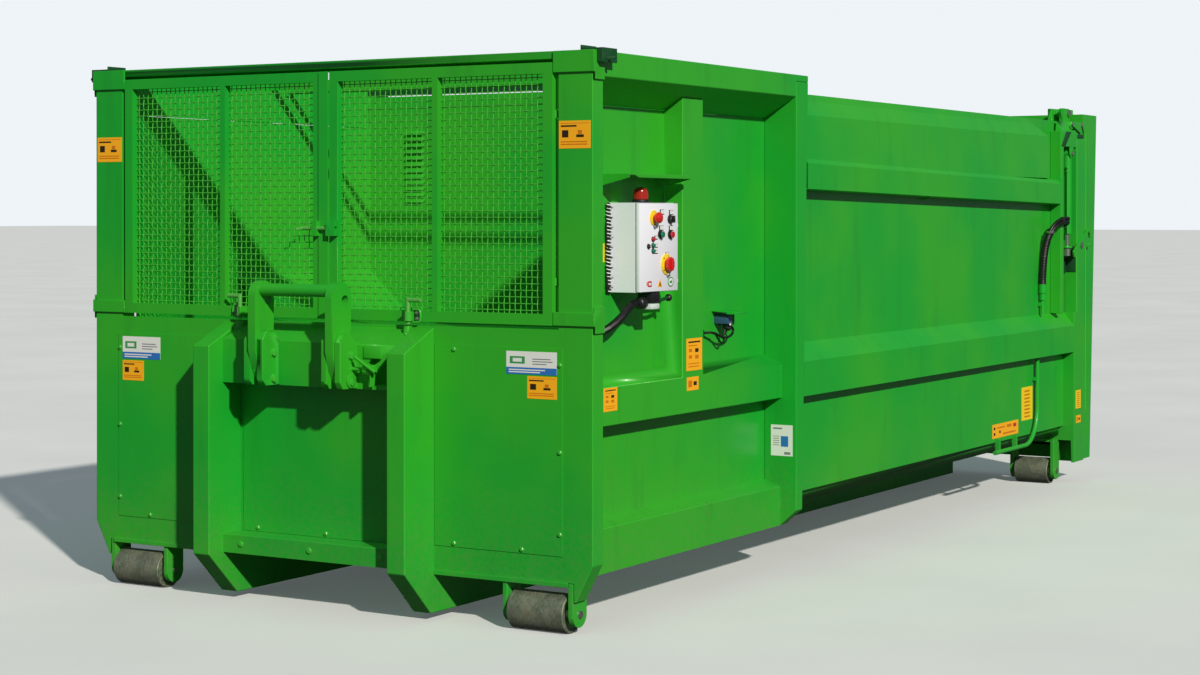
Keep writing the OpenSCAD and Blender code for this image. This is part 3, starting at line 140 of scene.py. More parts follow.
# Each lamp's direction, strength, spread in degrees, colour, and whether it throws a shadow
LAMPS = {
    "key": ((0.515, 0.705, -0.488), 3.9, 1.6, (1.0, 0.955, 0.84), True),
    "back": ((-0.62, -0.70, -0.36), 1.1, 10, (0.9, 0.96, 1.0), False),
}
SKY_LIGHT = 0.19
SKY_TINT = (0.70, 0.87, 1.0, 1)
SKY_SEEN = (0.86, 0.90, 0.94, 1)
FLOOR_SIZE = 400
FAR_END = 500


def set_camera():
    """A long lens at a standing person's height, off the cabinet side's front corner."""
    lens = bpy.data.cameras.new("camera")
    lens.lens = LENS
    lens.sensor_width = SENSOR
    lens.shift_x, lens.shift_y = LENS_SHIFT
    lens.clip_end = FAR_END
    camera = bpy.data.objects.new("camera", lens)
    camera.location = CAMERA_PLACE
    camera.rotation_euler = (math.pi / 2 + CAMERA_PITCH, 0, CAMERA_YAW - math.pi / 2)
    scene.collection.objects.link(camera)
    scene.camera = camera


def hang_lamps():
    """A key from beside the hook end, and a weak lamp without a shadow for the sides turned away."""
    for name, (direction, strength, spread, colour, shadow) in LAMPS.items():
        lamp = bpy.data.lights.new(name, "SUN")
        lamp.energy = strength
        lamp.angle = math.radians(spread)
        lamp.color = colour
        lamp.use_shadow = shadow
        holder = bpy.data.objects.new(name, lamp)
        holder.visible_glossy = shadow
        holder.rotation_euler = Vector(direction).to_track_quat("-Z", "Y").to_euler()
        scene.collection.objects.link(holder)


def set_sky():
    """A soft sky that lights the container, and a pale backdrop for the eye and for glass."""
    world = bpy.data.worlds.new("studio")
    world.use_nodes = True
    sky = Tree(world.node_tree)
    camera = sky.add("ShaderNodeLightPath", {}, {}, "Is Camera Ray")
    glass = sky.add("ShaderNodeLightPath", {}, {}, "Is Transmission Ray")
    fill = sky.add("ShaderNodeBackground", {}, {"Color": SKY_TINT, "Strength": SKY_LIGHT})
    backdrop = sky.add("ShaderNodeBackground", {}, {"Color": SKY_SEEN})
    seen = sky.sum("MAXIMUM", camera, glass)
    mixed = sky.add("ShaderNodeMixShader", {}, {0: seen, 1: fill, 2: backdrop})
    sky.add("ShaderNodeOutputWorld", {}, {"Surface": mixed}, None)
    scene.world = world
    scene.view_settings.view_transform = "Standard"


# ---- finishes ----


class Finish(Tree):
    """One procedural material, read in Object coordinates."""

    def __init__(self, name):
        self.material = bpy.data.materials.new(name)
        self.material.use_nodes = True
        super().__init__(self.material.node_tree)
        self.place = self.add("ShaderNodeTexCoord", {}, {}, "Object")

    def noise(self, scale, detail=3.0, roughness=0.5, stretch=None):
        """Cloudy noise of so many cells a metre, drawn out along an axis where stretch is under 1."""
        where = self.place
        if stretch:
            where = self.add("ShaderNodeMapping", {}, {"Vector": where, "Scale": stretch})
        return self.add("ShaderNodeTexNoise", {}, {"Vector": where, "Scale": scale, "Detail": detail,
            "Roughness": roughness}, "Fac")

    def ramp(self, value, low, high, start=0.0, end=1.0):
        """start below low, end above high, and a smooth step between."""
        return self.add("ShaderNodeMapRange", {"interpolation_type": "SMOOTHSTEP"},
            {0: value, 1: low, 2: high, 3: start, 4: end})

    def blend(self, factor, a, b):
        return self.add("ShaderNodeMix", {"data_type": "RGBA"}, {0: factor, 6: a, 7: b}, 2)

    def axis(self, name):
        return self.add("ShaderNodeSeparateXYZ", {}, {0: self.place}, name)

    def bump(self, height, strength, distance, normal=None):
        sockets = {"Height": height, "Strength": strength, "Distance": distance}
        if normal:
            sockets["Normal"] = normal
        return self.add("ShaderNodeBump", {}, sockets)

    def coat(self, **sockets):
        """The shader itself, and the material's output."""
        words = {key.replace("_", " ").title().replace("Ior", "IOR"): value
            for key, value in sockets.items()}
        shader = self.add("ShaderNodeBsdfPrincipled", {}, words)
        self.add("ShaderNodeOutputMaterial", {}, {"Surface": shader}, None)
        return self.material


def tone(red, green, blue):
    """A colour written as it looks on a screen, 0 to 255, for a shader."""
    return tuple((c / 255 / 12.92 if c < 10.3 else ((c / 255 + 0.055) / 1.055) ** 2.4)
        for c in (red, green, blue)) + (1,)


GREEN = tone(50, 166, 38)
GREEN_SHADE = tone(24, 160, 46)
GRIME = tone(34, 96, 40)
SPECK = tone(20, 70, 30)
DUST = tone(118, 112, 92)
# Share of dust at the ground, and the height in metres at which it has worn off
LOW_DUST = 0.20
DUST_LINE = 0.75


def painted_green():
    """Glossy two-coat paint: drifting tone, orange peel, dust near the ground, fine scuffs."""
    f = Finish("painted_green")
    drift = f.noise(1.3, 3)
    blotch = f.noise(7.0, 4, 0.6)
    grain = f.noise(60.0, 3, 0.6)
    z = f.axis("Z")
    streak = f.noise(9.0, 5, 0.6, stretch=(1.0, 1.0, 0.12))
    base = f.blend(f.ramp(drift, 0.35, 0.65), GREEN, GREEN_SHADE)
    grime = f.ramp(streak, 0.52, 0.78) * 0.22
    base = f.blend(grime, base, GRIME)
    dust = f.ramp(z + (blotch - 0.5) * 0.5, 0.05, DUST_LINE, LOW_DUST, 0.0) * f.ramp(grain, 0.30, 0.70)
    base = f.blend(dust, base, DUST)
    speck = f.ramp(f.noise(140.0, 2), 0.70, 0.78) * f.ramp(blotch, 0.5, 0.8) * 0.35
    base = f.blend(speck, base, SPECK)
    peel = f.bump(f.noise(220.0, 2), 0.05, 0.002)
    dent = f.bump(f.noise(1.9, 2), 0.10, 0.05, peel)
    return f.coat(base_color=base, roughness=0.30 + dust * 0.9 + blotch * 0.10, normal=dent,
        specular_ior_level=0.35, coat_weight=0.08, coat_roughness=0.12)


def plain(name, colour, roughness, metallic=0.0, fleck=0.10, scale=90.0, coat_weight=0.0):
    """A moulded or coated surface with a faint fleck and grain."""
    f = Finish(name)
    n = f.noise(scale, 3, 0.6)
    darker = tuple(c * (1 - 2.5 * fleck) for c in colour[:3]) + (1,)
    base = f.blend(f.ramp(n, 0.35, 0.75), colour, darker)
    return f.coat(base_color=base, roughness=roughness + (n - 0.5) * 0.12, metallic=metallic,
        normal=f.bump(n, 0.06, 0.001), coat_weight=coat_weight)


def worn_steel(name, bright, dark, rust):
    """Bare steel that has rolled over the yard: scratches, dull patches and rust."""
    f = Finish(name)
    patch = f.noise(14.0, 5, 0.65)
    scratch = f.noise(60.0, 4, 0.6, stretch=(1.0, 9.0, 1.0))
    base = f.blend(f.ramp(scratch, 0.35, 0.68), bright, dark)
    base = f.blend(f.ramp(patch, 0.50, 0.72) * 0.8, base, rust)
    shine = f.ramp(patch, 0.45, 0.7, 0.75, 0.1)
    return f.coat(base_color=base, roughness=0.42 + patch * 0.35, metallic=shine,
        normal=f.bump(scratch, 0.25, 0.002))


# Each plain finish: its colour, its roughness, and what else it needs
PLAIN_FINISHES = {
    "mesh_green": ((70, 176, 52), 0.34, {"fleck": 0.08, "coat_weight": 0.1}),
    # dark_bracket is also laid on pieces painted dark as shade by the tailgate locks
    "dark_bracket": ((8, 72, 32), 0.55, {}),
    "bolt_steel": ((92, 176, 78), 0.34, {"metallic": 0.1, "scale": 200.0}),
    # bolt_paint also colours the light rods painted as highlights on the tailgate and the post
    "bolt_paint": ((58, 174, 50), 0.26, {"fleck": 0.08, "scale": 160.0, "coat_weight": 0.2}),
    "bright_steel": ((185, 184, 180), 0.28, {"metallic": 0.9, "scale": 160.0}),
    "machine_grey": ((92, 96, 100), 0.45, {}),
    "socket_blue": ((52, 84, 116), 0.38, {"fleck": 0.05}),
    "cabinet_grey": ((232, 234, 246), 0.36, {"fleck": 0.01, "scale": 300.0, "coat_weight": 0.1}),
    "red_plastic": ((205, 30, 30), 0.25, {"fleck": 0.04, "coat_weight": 0.3}),
    "green_plastic": ((24, 140, 70), 0.25, {"fleck": 0.04, "coat_weight": 0.3}),
    "black_plastic": ((26, 27, 29), 0.42, {}),
    "beacon_red": ((160, 34, 22), 0.16, {"fleck": 0.05, "coat_weight": 0.5}),
    "cable_black": ((8, 8, 11), 0.46, {}),
    "black_rubber": ((18, 18, 18), 0.68, {}),
    "label_white": ((226, 228, 226), 0.30, {"fleck": 0.01}),
    "label_orange": ((252, 178, 26), 0.32, {"fleck": 0.02}),
    "label_amber": ((206, 116, 14), 0.34, {"fleck": 0.02}),
    "label_yellow": ((244, 206, 30), 0.32, {"fleck": 0.02}),
    "label_blue": ((44, 112, 190), 0.32, {"fleck": 0.02}),
    "label_green": ((60, 150, 84), 0.32, {"fleck": 0.02}),
    "label_pale": ((206, 220, 214), 0.32, {"fleck": 0.02}),
    "label_grey": ((120, 126, 132), 0.34, {"fleck": 0.02}),
    "label_black": ((40, 32, 20), 0.34, {"fleck": 0.02}),
    "label_red": ((196, 40, 44), 0.32, {"fleck": 0.02}),
    "yellow_plastic": ((240, 206, 30), 0.28, {"fleck": 0.03, "coat_weight": 0.3}),
    "red_lamp": ((190, 24, 40), 0.14, {"fleck": 0.03, "coat_weight": 0.6}),
    "green_lamp": ((20, 120, 92), 0.14, {"fleck": 0.03, "coat_weight": 0.6}),
}
# Each worn steel: its scratched, its dull and its rusted colour
WORN_STEELS = {
    "roller_steel": ((150, 158, 140), (104, 110, 92), (96, 88, 66)),
    "ram_steel": ((120, 120, 116), (84, 84, 80), (92, 66, 44)),
}


def make_finishes():
    """Every finish by its name; the record's slots are among them."""
    made = {"painted_green": painted_green()}
    for name, (colour, roughness, more) in PLAIN_FINISHES.items():
        made[name] = plain(name, tone(*colour), roughness, **more)
    for name, colours in WORN_STEELS.items():
        made[name] = worn_steel(name, *(tone(*colour) for colour in colours))
    return made


def slot_name(material):
    return material.name.split(".")[0]


def dress_nodes():
    """Every solid gets the finish of its own slot."""
    for node in nodes.values():
        for place in node.material_slots:
            place.material = finishes[slot_name(place.material)]


# ---- making pieces ----

BEVEL_STEPS = 2
SHARP_ANGLE = math.radians(35)
WELD = 2e-5


def around(count):
    """The angles of so many equal steps round a circle."""
    return [2 * math.pi * k / count for k in range(count)]


def circle(middle, u, v, radius, sides):
    """A ring of points round a middle, in the plane of u and v."""
    return [middle + radius * (math.cos(t) * u + math.sin(t) * v) for t in around(sides)]


class Shape:
    """Mesh work in millimetres from the hook-end face; each form is a closed shell in one finish."""

    def __init__(self):
        self.work = bmesh.new()
        self.used = []

    def _index(self, finish):
        if finish not in self.used:
            self.used.append(finish)
        return self.used.index(finish)

    def loft(self, rings, finish, bevel=0.0):
        """A closed shell through rings of points, capped at both ends."""
        work = self.work
        before = set(work.faces)
        rows = [[work.verts.new(at(*p)) for p in ring] for ring in rings]
        n = len(rows[0])
        for a, b in zip(rows, rows[1:]):
            for k in range(n):
                work.faces.new((a[k], a[(k + 1) % n], b[(k + 1) % n], b[k]))
        work.faces.new(rows[0][::-1])
        work.faces.new(rows[-1])
        made = [f for f in work.faces if f not in before]
        if bevel:
            edges = list(dict.fromkeys(e for f in made for e in f.edges))
            bmesh.ops.bevel(work, geom=edges, offset=bevel / 1000, segments=BEVEL_STEPS, profile=0.5,
                affect="EDGES", clamp_overlap=True)
            made = [f for f in work.faces if f not in before]
        bmesh.ops.recalc_face_normals(work, faces=made)
        for f in made:
            f.material_index = self._index(finish)
            f.smooth = True

    def block(self, low, high, finish, bevel=0.0):
        """A box between two corners."""
        (x0, y0, z0), (x1, y1, z1) = low, high
        self.loft([[(x0, y0, z), (x1, y0, z), (x1, y1, z), (x0, y1, z)] for z in (z0, z1)], finish, bevel)

    def prism(self, outline, axis, start, end, finish, bevel=0.0):
        """An outline in the two other axes, drawn out along x, y or z."""
        slot = "xyz".index(axis)
        ends = [[(*point[:slot], c, *point[slot:]) for point in outline] for c in (start, end)]
        self.loft(ends, finish, bevel)

    def turned(self, centre, axis, profile, finish, sides=32):
        """A turned form: (distance along the axis, radius) pairs from a centre point."""
        turn = "xyz".index(axis)
        along, u, v = (Vector([float(i == (turn + k) % 3) for i in range(3)]) for k in range(3))
        middle = Vector(centre)
        self.loft([circle(middle + along * d, u, v, radius, sides) for d, radius in profile], finish)

    def tube(self, points, radius, finish, sides=12):
        """A round bar or hose along points."""
        points = [Vector(p) for p in points]
        rings = []
        u = None
        for i, p in enumerate(points):
            ahead = (points[min(i + 1, len(points) - 1)] - points[max(i - 1, 0)]).normalized()
            if u is None:
                u = ahead.orthogonal().normalized()
            u = (u - ahead * u.dot(ahead)).normalized()
            rings.append(circle(p, u, ahead.cross(u), radius, sides))
        self.loft(rings, finish)

    def add_mesh(self, mesh, finish):
        """Takes in a mesh that is already in metres and in place."""
        before = set(self.work.faces)
        self.work.from_mesh(mesh)
        for f in self.work.faces:
            if f not in before:
                f.material_index = self._index(finish)

    def place(self, name, body, slot, *stands_for):
        """Closes the work and puts it in the scene as a piece."""
        mesh = bpy.data.meshes.new(name)
        self.work.to_mesh(mesh)
        self.work.free()
        for finish in self.used:
            mesh.materials.append(finishes[finish])
        mesh.set_sharp_from_angle(angle=SHARP_ANGLE)
        add_piece(name, mesh, body, slot, *stands_for)


def add_piece(name, mesh, body, slot, *stands_for):
    """Puts a finished mesh in the scene on its body and hides the nodes it stands for; slot is not used."""
    piece = bpy.data.objects.new(name, mesh)
    mesh.name = name
    scene.collection.objects.link(piece)
    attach(piece, body)
    if stands_for:
        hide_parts(*stands_for)


def smooth_path(points, steps):
    """Points on a smooth curve through the given ones."""
    points = [Vector(p) for p in points]
    ends = [2 * points[0] - points[1]] + points + [2 * points[-1] - points[-2]]
    out = []
    for i in range(len(points) - 1):
        a, b, c, d = ends[i:i + 4]
        for k in range(steps):
            t = k / steps
            out.append(0.5 * (2 * b + (c - a) * t + (2 * a - 5 * b + 4 * c - d) * t * t
                + (3 * b - a - 3 * c + d) * t ** 3))
    return out + [points[-1]]


# ---- worked edges ----

# Radius of the worked edges, in metres, for each node that gets them
EDGE_RADIUS = {
    "corner_posts": 0.004, "top_frame": 0.004, "corner_bands": 0.0025, "corner_brackets": 0.002,
    "front_wall": 0.0016, "skid_rails": 0.005, "hook_beam": 0.004, "hook_bow": 0.006, "front_crossbar": 0.005,
    "roller_brackets": 0.003, "hopper_side_left": 0.004, "hopper_side_right": 0.004, "press_ram": 0.002,
    "body_shell": 0.0018, "rear_frame": 0.004, "tailgate": 0.004, "lock_arms": 0.002,
    "gate_left": 0.003, "gate_right": 0.003, "cabinet_hood": 0.0014, "pull_lever": 0.002,
    "control_cabinet": 0.0015,
}
# Flatter than this is one face; flatter than a seam is left; sharper than worked is rounded over
FLAT_ANGLE = math.radians(0.6)
SEAM_ANGLE = math.radians(1)
WORKED_ANGLE = math.radians(24)
CREASE_ANGLE = math.radians(50)
# The shortest edge and the narrowest face that are worked, in radii
SHORTEST_EDGE = 5
NARROW = 2.6


def settle(holder):
    """The plain mesh that an object's modifiers make of it."""
    bpy.context.view_layer.update()
    view = bpy.context.evaluated_depsgraph_get()
    seen = holder.evaluated_get(view)
    mesh = bpy.data.meshes.new_from_object(seen, preserve_all_data_layers=True, depsgraph=view)
    holder.modifiers.clear()
    bpy.data.objects.remove(holder)
    return mesh


def thin(face, radius):
    """True for a face too narrow to give away two rounded edges."""
    rim = sum(edge.calc_length() for edge in face.edges)
    return 2 * face.calc_area() / rim < NARROW * radius


def even_shading(mesh):
    """The mesh with each face's shading led by its largest neighbours, so flat plates look flat."""
    holder = bpy.data.objects.new("holder", mesh)
    scene.collection.objects.link(holder)
    weigh = holder.modifiers.new("weigh", "WEIGHTED_NORMAL")
    weigh.keep_sharp = True
    weigh.weight = 100
    return settle(holder)


def work_edges(name, body, radius):
    """The node again with its outer edges rounded over, as a press brake or a grinder leaves them."""
    source = nodes[name]
    work = bmesh.new()
    work.from_mesh(source.data)
    work.transform(source.matrix_world)
    bmesh.ops.remove_doubles(work, verts=work.verts, dist=WELD)
    bmesh.ops.dissolve_limit(work, angle_limit=FLAT_ANGLE, verts=work.verts, edges=work.edges)
    inner = [e for e in work.edges if len(e.link_faces) == 2]
    on_seam = {v for e in inner if e.calc_face_angle(1) < SEAM_ANGLE for v in e.verts}
    chosen = [e for e in inner if e.calc_face_angle_signed(0) > WORKED_ANGLE
        and e.calc_length() > SHORTEST_EDGE * radius and not any(thin(f, radius) for f in e.link_faces)
        and not on_seam.intersection(e.verts)]
    bmesh.ops.bevel(work, geom=chosen, offset=radius, segments=BEVEL_STEPS, profile=0.5,
        affect="EDGES", clamp_overlap=False)
    mesh = bpy.data.meshes.new(name)
    work.to_mesh(mesh)
    work.free()
    finish = source.material_slots[0].material
    mesh.materials.clear()
    mesh.materials.append(finish)
    mesh.polygons.foreach_set("material_index", [0] * len(mesh.polygons))
    mesh.polygons.foreach_set("use_smooth", [True] * len(mesh.polygons))
    mesh.set_sharp_from_angle(angle=CREASE_ANGLE)
    add_piece(name + "_worked", even_shading(mesh), body, slot_name(finish), name)


def work_all_edges():
    """The worked edges of every node that gets them, each on its own body."""
    bodies = frame["record"]["behaviour"]["bodies"]
    body_of = {node: body for body, members in bodies.items() for node in members}
    for name, radius in EDGE_RADIUS.items():
        work_edges(name, body_of[name], radius)


# ---- forms that repeat ----

WIRE_SIDES = 5


class Grown(Tree):
    """A Geometry Nodes tree with named sizes, baked to a plain mesh."""

    def __init__(self, name, sizes):
        super().__init__(bpy.data.node_groups.new(name, "GeometryNodeTree"))
        face = self.tree.interface
        face.new_socket("Geometry", in_out="INPUT", socket_type="NodeSocketGeometry")
        self.ids = {}
        for key, value in sizes.items():
            kind = "NodeSocketInt" if isinstance(value, int) else "NodeSocketFloat"
            socket = face.new_socket(key, in_out="INPUT", socket_type=kind)
            socket.default_value = value
            self.ids[key] = socket.identifier
        face.new_socket("Geometry", in_out="OUTPUT", socket_type="NodeSocketGeometry")
        self.start = self.tree.nodes.new("NodeGroupInput")

    def size(self, key):
        """A named input of the tree."""
        return Wire(self, self.start.outputs[key])

    def point(self, x=0.0, y=0.0, z=0.0):
        return self.add("ShaderNodeCombineXYZ", {}, {0: x, 1: y, 2: z})

    def close(self, geometry, finish):
        """The end of the tree: real geometry in one finish."""
        real = self.add("GeometryNodeRealizeInstances", {}, {0: geometry})
        painted = self.add("GeometryNodeSetMaterial", {}, {"Geometry": real, "Material": finishes[finish]})
        self.add("NodeGroupOutput", {}, {0: painted}, None)

    def bake(self, start=None, **sizes):
        """The tree run on a start mesh with these sizes, as a mesh of its own."""
        holder = bpy.data.objects.new("holder", start or bpy.data.meshes.new("holder"))
        scene.collection.objects.link(holder)
        modifier = holder.modifiers.new("grown", "NODES")
        modifier.node_group = self.tree
        for key, value in sizes.items():
            modifier[self.ids[key]] = value
        return settle(holder)


# The two ways of the weave: size along, size across, axis along, axis across, and which side comes first
WAYS = (("Height", "Width", "z", "y", 1), ("Width", "Height", "y", "z", -1))


def woven_field():
    """Crimped wires both ways over a field that lies in Y and Z."""
    g = Grown("woven_field", {"Width": 0.4, "Height": 0.8, "Pitch": 0.025, "Wire": 0.004})
    pitch, radius = g.size("Pitch"), g.size("Wire") * 0.5
    wires = []
    for length, breadth, ahead, aside, side in WAYS:
        # how many wires fit, and the margin that is left at either edge
        count = g.sum("FLOOR", g.size(breadth) / pitch)
        margin = (g.size(breadth) - (count - 1.0) * pitch) * 0.5
        end = g.point(**{ahead: g.size(length)})
        line = g.add("GeometryNodeCurvePrimitiveLine", {}, {"Start": g.point(), "End": end})
        crimps = g.sum("ROUND", g.size(length) / pitch) * 2.0
        fine = g.add("GeometryNodeResampleCurve", {}, {"Curve": line, "Count": crimps})
        row = g.add("GeometryNodeMeshLine", {}, {"Count": count, "Start Location": g.point(**{aside: margin}),
            "Offset": g.point(**{aside: pitch})})
        copies = g.add("GeometryNodeInstanceOnPoints", {}, {"Points": row, "Instance": fine})
        real = g.add("GeometryNodeRealizeInstances", {}, {0: copies})
        # the crimp: each crossing goes over where its neighbours go under
        place = g.add("GeometryNodeInputPosition", {}, {})
        y, z = (g.add("ShaderNodeSeparateXYZ", {}, {0: place}, axis) for axis in "YZ")
        crimp = g.sum("COSINE", (y + z) / pitch * math.pi) * (radius * side)
        bent = g.add("GeometryNodeSetPosition", {}, {"Geometry": real, "Offset": g.point(x=crimp)})
        ring = g.add("GeometryNodeCurvePrimitiveCircle", {}, {"Resolution": WIRE_SIDES, "Radius": radius})
        wires.append(g.add("GeometryNodeCurveToMesh", {},
            {"Curve": bent, "Profile Curve": ring, "Fill Caps": True}))
    g.close(g.add("GeometryNodeJoinGeometry", {}, {0: wires}), "mesh_green")
    return g


def hose_skin():
    """A wound sleeve round a hose: ridges that follow its run."""
    g = Grown("hose_skin", {"Radius": 0.02, "Ridge": 0.0012, "Pitch": 0.008, "Sides": 14})
    pitch = g.size("Pitch")
    run = g.add("GeometryNodeMeshToCurve", {}, {"Mesh": g.size("Geometry")})
    fine = g.add("GeometryNodeResampleCurve", {"mode": "LENGTH"}, {"Curve": run, "Length": pitch * 0.25})
    along = g.add("GeometryNodeSplineParameter", {}, {}, 1)
    wave = g.sum("SINE", along / pitch * (2 * math.pi))
    thick = g.size("Radius") + wave * g.size("Ridge")
    sized = g.add("GeometryNodeSetCurveRadius", {}, {"Curve": fine, "Radius": thick})
    ring = g.add("GeometryNodeCurvePrimitiveCircle", {}, {"Resolution": g.size("Sides"), "Radius": 1.0})
    skin = g.add("GeometryNodeCurveToMesh", {},
        {"Curve": sized, "Profile Curve": ring, "Fill Caps": True, "Scale": thick})
    g.close(g.add("GeometryNodeSetShadeSmooth", {}, {0: skin}), "cable_black")
    return g


def line_mesh(points):
    """A chain of edges through points in millimetres."""
    mesh = bpy.data.meshes.new("line")
    mesh.from_pydata([at(*p) for p in points], [(i, i + 1) for i in range(len(points) - 1)], [])
    return mesh


# ---- gates ----

# Across a leaf: the edge where the two meet, its middle bar, its outer edge, and the width of a stile
LEAF_MEET = 20
MID_BAR = (523, 549)
LEAF_EDGE = 1076
STILE = 42
GATE_Z = (1165, 2158)
# The mesh: its place behind the front face, how far it laps under the frame, and its wires in metres
MESH_X = 19
MESH_LAP = 2
MESH_PITCH = 0.0253
MESH_WIRE = 0.0042


def weave_gates():
    """Two fields of woven wire in each leaf."""
    tree = woven_field()
    z0, z1 = GATE_Z[0] + STILE, GATE_Z[1] - STILE
    for side, leaf in ((1, "left"), (-1, "right")):
        shape = Shape()
        for y0, y1 in ((LEAF_MEET + STILE, MID_BAR[0]), (MID_BAR[1], LEAF_EDGE - STILE)):
            width, height = (y1 - y0 + 2 * MESH_LAP) / 1000, (z1 - z0 + 2 * MESH_LAP) / 1000
            mesh = tree.bake(Width=width, Height=height, Pitch=MESH_PITCH, Wire=MESH_WIRE)
            low = y0 if side > 0 else -y1
            mesh.transform(Matrix.Translation(at(MESH_X, low - MESH_LAP, z0 - MESH_LAP)))
            shape.add_mesh(mesh, "mesh_green")
        shape.place(f"gate_{leaf}_wire", "leaf_" + leaf, "mesh_green", f"gate_{leaf}_mesh")


# ---- labels ----

# Faces on the cabinet side, from the middle line
HOPPER_SIDE_Y = -1092
RIB_Y = -1180
BOX_SIDE_Y = -1184
OUTER_Y = -1250
# Each label: its face, from and to across it, from and to above the ground, the face's level, its layout
LABELS = [
    ("front", 882, 1094, 969, 1064, -3, "banner"), ("front", 975, 1094, 877, 962, -3, "notice"),
    ("front", -1094, -867, 977, 1064, -3, "banner"), ("front", -1094, -962, 886, 971, -3, "notice"),
    ("front", 1101, 1240, 1809, 1914, 0, "notice"), ("front", -1241, -1102, 1832, 1936, 0, "notice"),
    ("side", 305, 350, 1398, 1471, HOPPER_SIDE_Y, "strip"), ("side", 856, 990, 944, 1076, RIB_Y, "tall"),
    ("side", 860, 960, 863, 918, RIB_Y, "small"), ("side", 195, 298, 828, 918, RIB_Y, "tall"),
    ("front", -1232, -1126, 515, 652, 1740, "plate"), ("side", 4770, 4945, 424, 610, BOX_SIDE_Y, "ladder"),
    ("side", 4315, 4715, 362, 438, BOX_SIDE_Y, "wide"), ("side", 5502, 5590, 440, 547, OUTER_Y, "ladder"),
    ("side", 5508, 5588, 355, 399, OUTER_Y, "small"),
]
# Each layout: its ground, and its printed fields as (from left, from bottom, width, height, ink), in
# parts of the label
LAYOUTS = {
    "banner": ("white", [(0, 0, 1, 0.30, "blue"), (0.05, 0.07, 0.62, 0.05, "white"),
        (0.05, 0.17, 0.72, 0.05, "white"), (0.07, 0.46, 0.30, 0.32, "green"),
        (0.13, 0.54, 0.18, 0.16, "white"), (0.52, 0.66, 0.36, 0.04, "grey"),
        (0.52, 0.55, 0.40, 0.04, "grey"), (0.52, 0.44, 0.28, 0.04, "grey")]),
    "notice": ("orange", [(0.05, 0.90, 0.9, 0.02, "amber"), (0.06, 0.78, 0.50, 0.06, "black"),
        (0.10, 0.40, 0.20, 0.26, "black"), (0.14, 0.46, 0.12, 0.14, "orange"),
        (0.55, 0.40, 0.24, 0.10, "black"), (0.60, 0.52, 0.13, 0.14, "amber"),
        *[(0.06, low, 0.84, 0.04, "amber") for low in (0.22, 0.13)]]),
    "strip": ("yellow", [(0.2, 0.12, 0.14, 0.76, "amber"), (0.5, 0.12, 0.10, 0.5, "amber")]),
    "tall": ("orange", [(0.12, 0.86, 0.76, 0.05, "black"), (0.12, 0.76, 0.55, 0.03, "amber"),
        (0.15, 0.58, 0.20, 0.10, "amber"), (0.55, 0.56, 0.22, 0.12, "black"),
        (0.15, 0.38, 0.20, 0.10, "amber"), (0.55, 0.36, 0.22, 0.12, "amber"),
        *[(0.12, low, 0.70, 0.03, "amber") for low in (0.20, 0.11)]]),
    "small": ("orange", [(0.12, 0.25, 0.30, 0.5, "amber"), (0.56, 0.35, 0.28, 0.3, "black")]),
    "plate": ("white", [(0.10, 0.86, 0.42, 0.05, "grey"),
        *[(0.10, 0.62 - 0.07 * row, 0.28, 0.02, "grey") for row in range(5)],
        (0.46, 0.30, 0.34, 0.34, "blue"), (0.62, 0.05, 0.28, 0.08, "grey")]),
    "ladder": ("yellow", [(0.25, 0.08 + 0.11 * row, 0.5, 0.05, "amber") for row in range(8)]),
    "wide": ("orange", [(0.05, 0.60, 0.06, 0.2, "black"), (0.05, 0.2, 0.06, 0.2, "black"),
        (0.26, 0.3, 0.05, 0.2, "black"), (0.18, 0.66, 0.30, 0.10, "amber"),
        (0.55, 0.62, 0.18, 0.2, "amber"), (0.80, 0.55, 0.12, 0.26, "red"),
        (0.40, 0.16, 0.50, 0.12, "amber")]),
}
# Thickness of a label, of the print on it, and the share by which neighbouring fields differ
FILM = 1.0
PRINT = 0.25
PRINT_STEP = 0.4


def label_field(shape, face, span, rise, level, lift, ink):
    """A field as thick as lift, on a face that looks towards the hook end or the cabinet side."""
    depth = (level - lift, level)
    across, along = (depth, span) if face == "front" else (span, depth)
    low, high = zip(across, along, rise)
    shape.block(low, high, "label_" + ink)


def print_labels():
    """The plain plates and stickers, with bars and blocks in place of words and signs."""
    shape = Shape()
    for face, a0, a1, z0, z1, level, layout in LABELS:
        ground, fields = LAYOUTS[layout]
        label_field(shape, face, (a0, a1), (z0, z1), level, FILM, ground)
        wide, high = a1 - a0, z1 - z0
        for i, (u, v, w, h, ink) in enumerate(fields):
            left = a1 - (u + w) * wide if face == "front" else a0 + u * wide
            span, rise = (left, left + w * wide), (z0 + v * high, z0 + (v + h) * high)
            label_field(shape, face, span, rise, level - FILM, PRINT * (1 + i % 3 * PRINT_STEP), ink)
    shape.place("printed_labels", "container", "label_white", "labels")


# ---- control cabinet ----

CAB_X, CAB_Z, CAB_W, CAB_H = 385, 1279, 307, 351
CAB_TOP = CAB_Z + CAB_H
# The door's outer face, its depth, and the depth to which its rubber reaches
DOOR_Y = -1231
DOOR_DEPTH = 17
RUBBER_DEPTH = 20
KNUCKLE_X = CAB_X + CAB_W + 7
KNUCKLE_HEIGHTS = (CAB_Z + 50, CAB_TOP - 80)
CONTROL_CENTRES = {"stop_mushroom": (493, 1571), "selector": (623, 1565), "start": (545, 1505),
    "stop": (625, 1504), "mains": (594, 1387), "lamp_red": (487, 1487), "lamp_green": (487, 1462),
    "lamp_low": (487, 1441), "key": (451, 1459)}
PUSH_BUTTONS = (("start", "start_button", "green"), ("stop", "stop_button", "red"))
LAMP_LENSES = {"lamp_red": "red_lamp", "lamp_green": "green_lamp", "lamp_low": "green_lamp",
    "key": "black_plastic"}
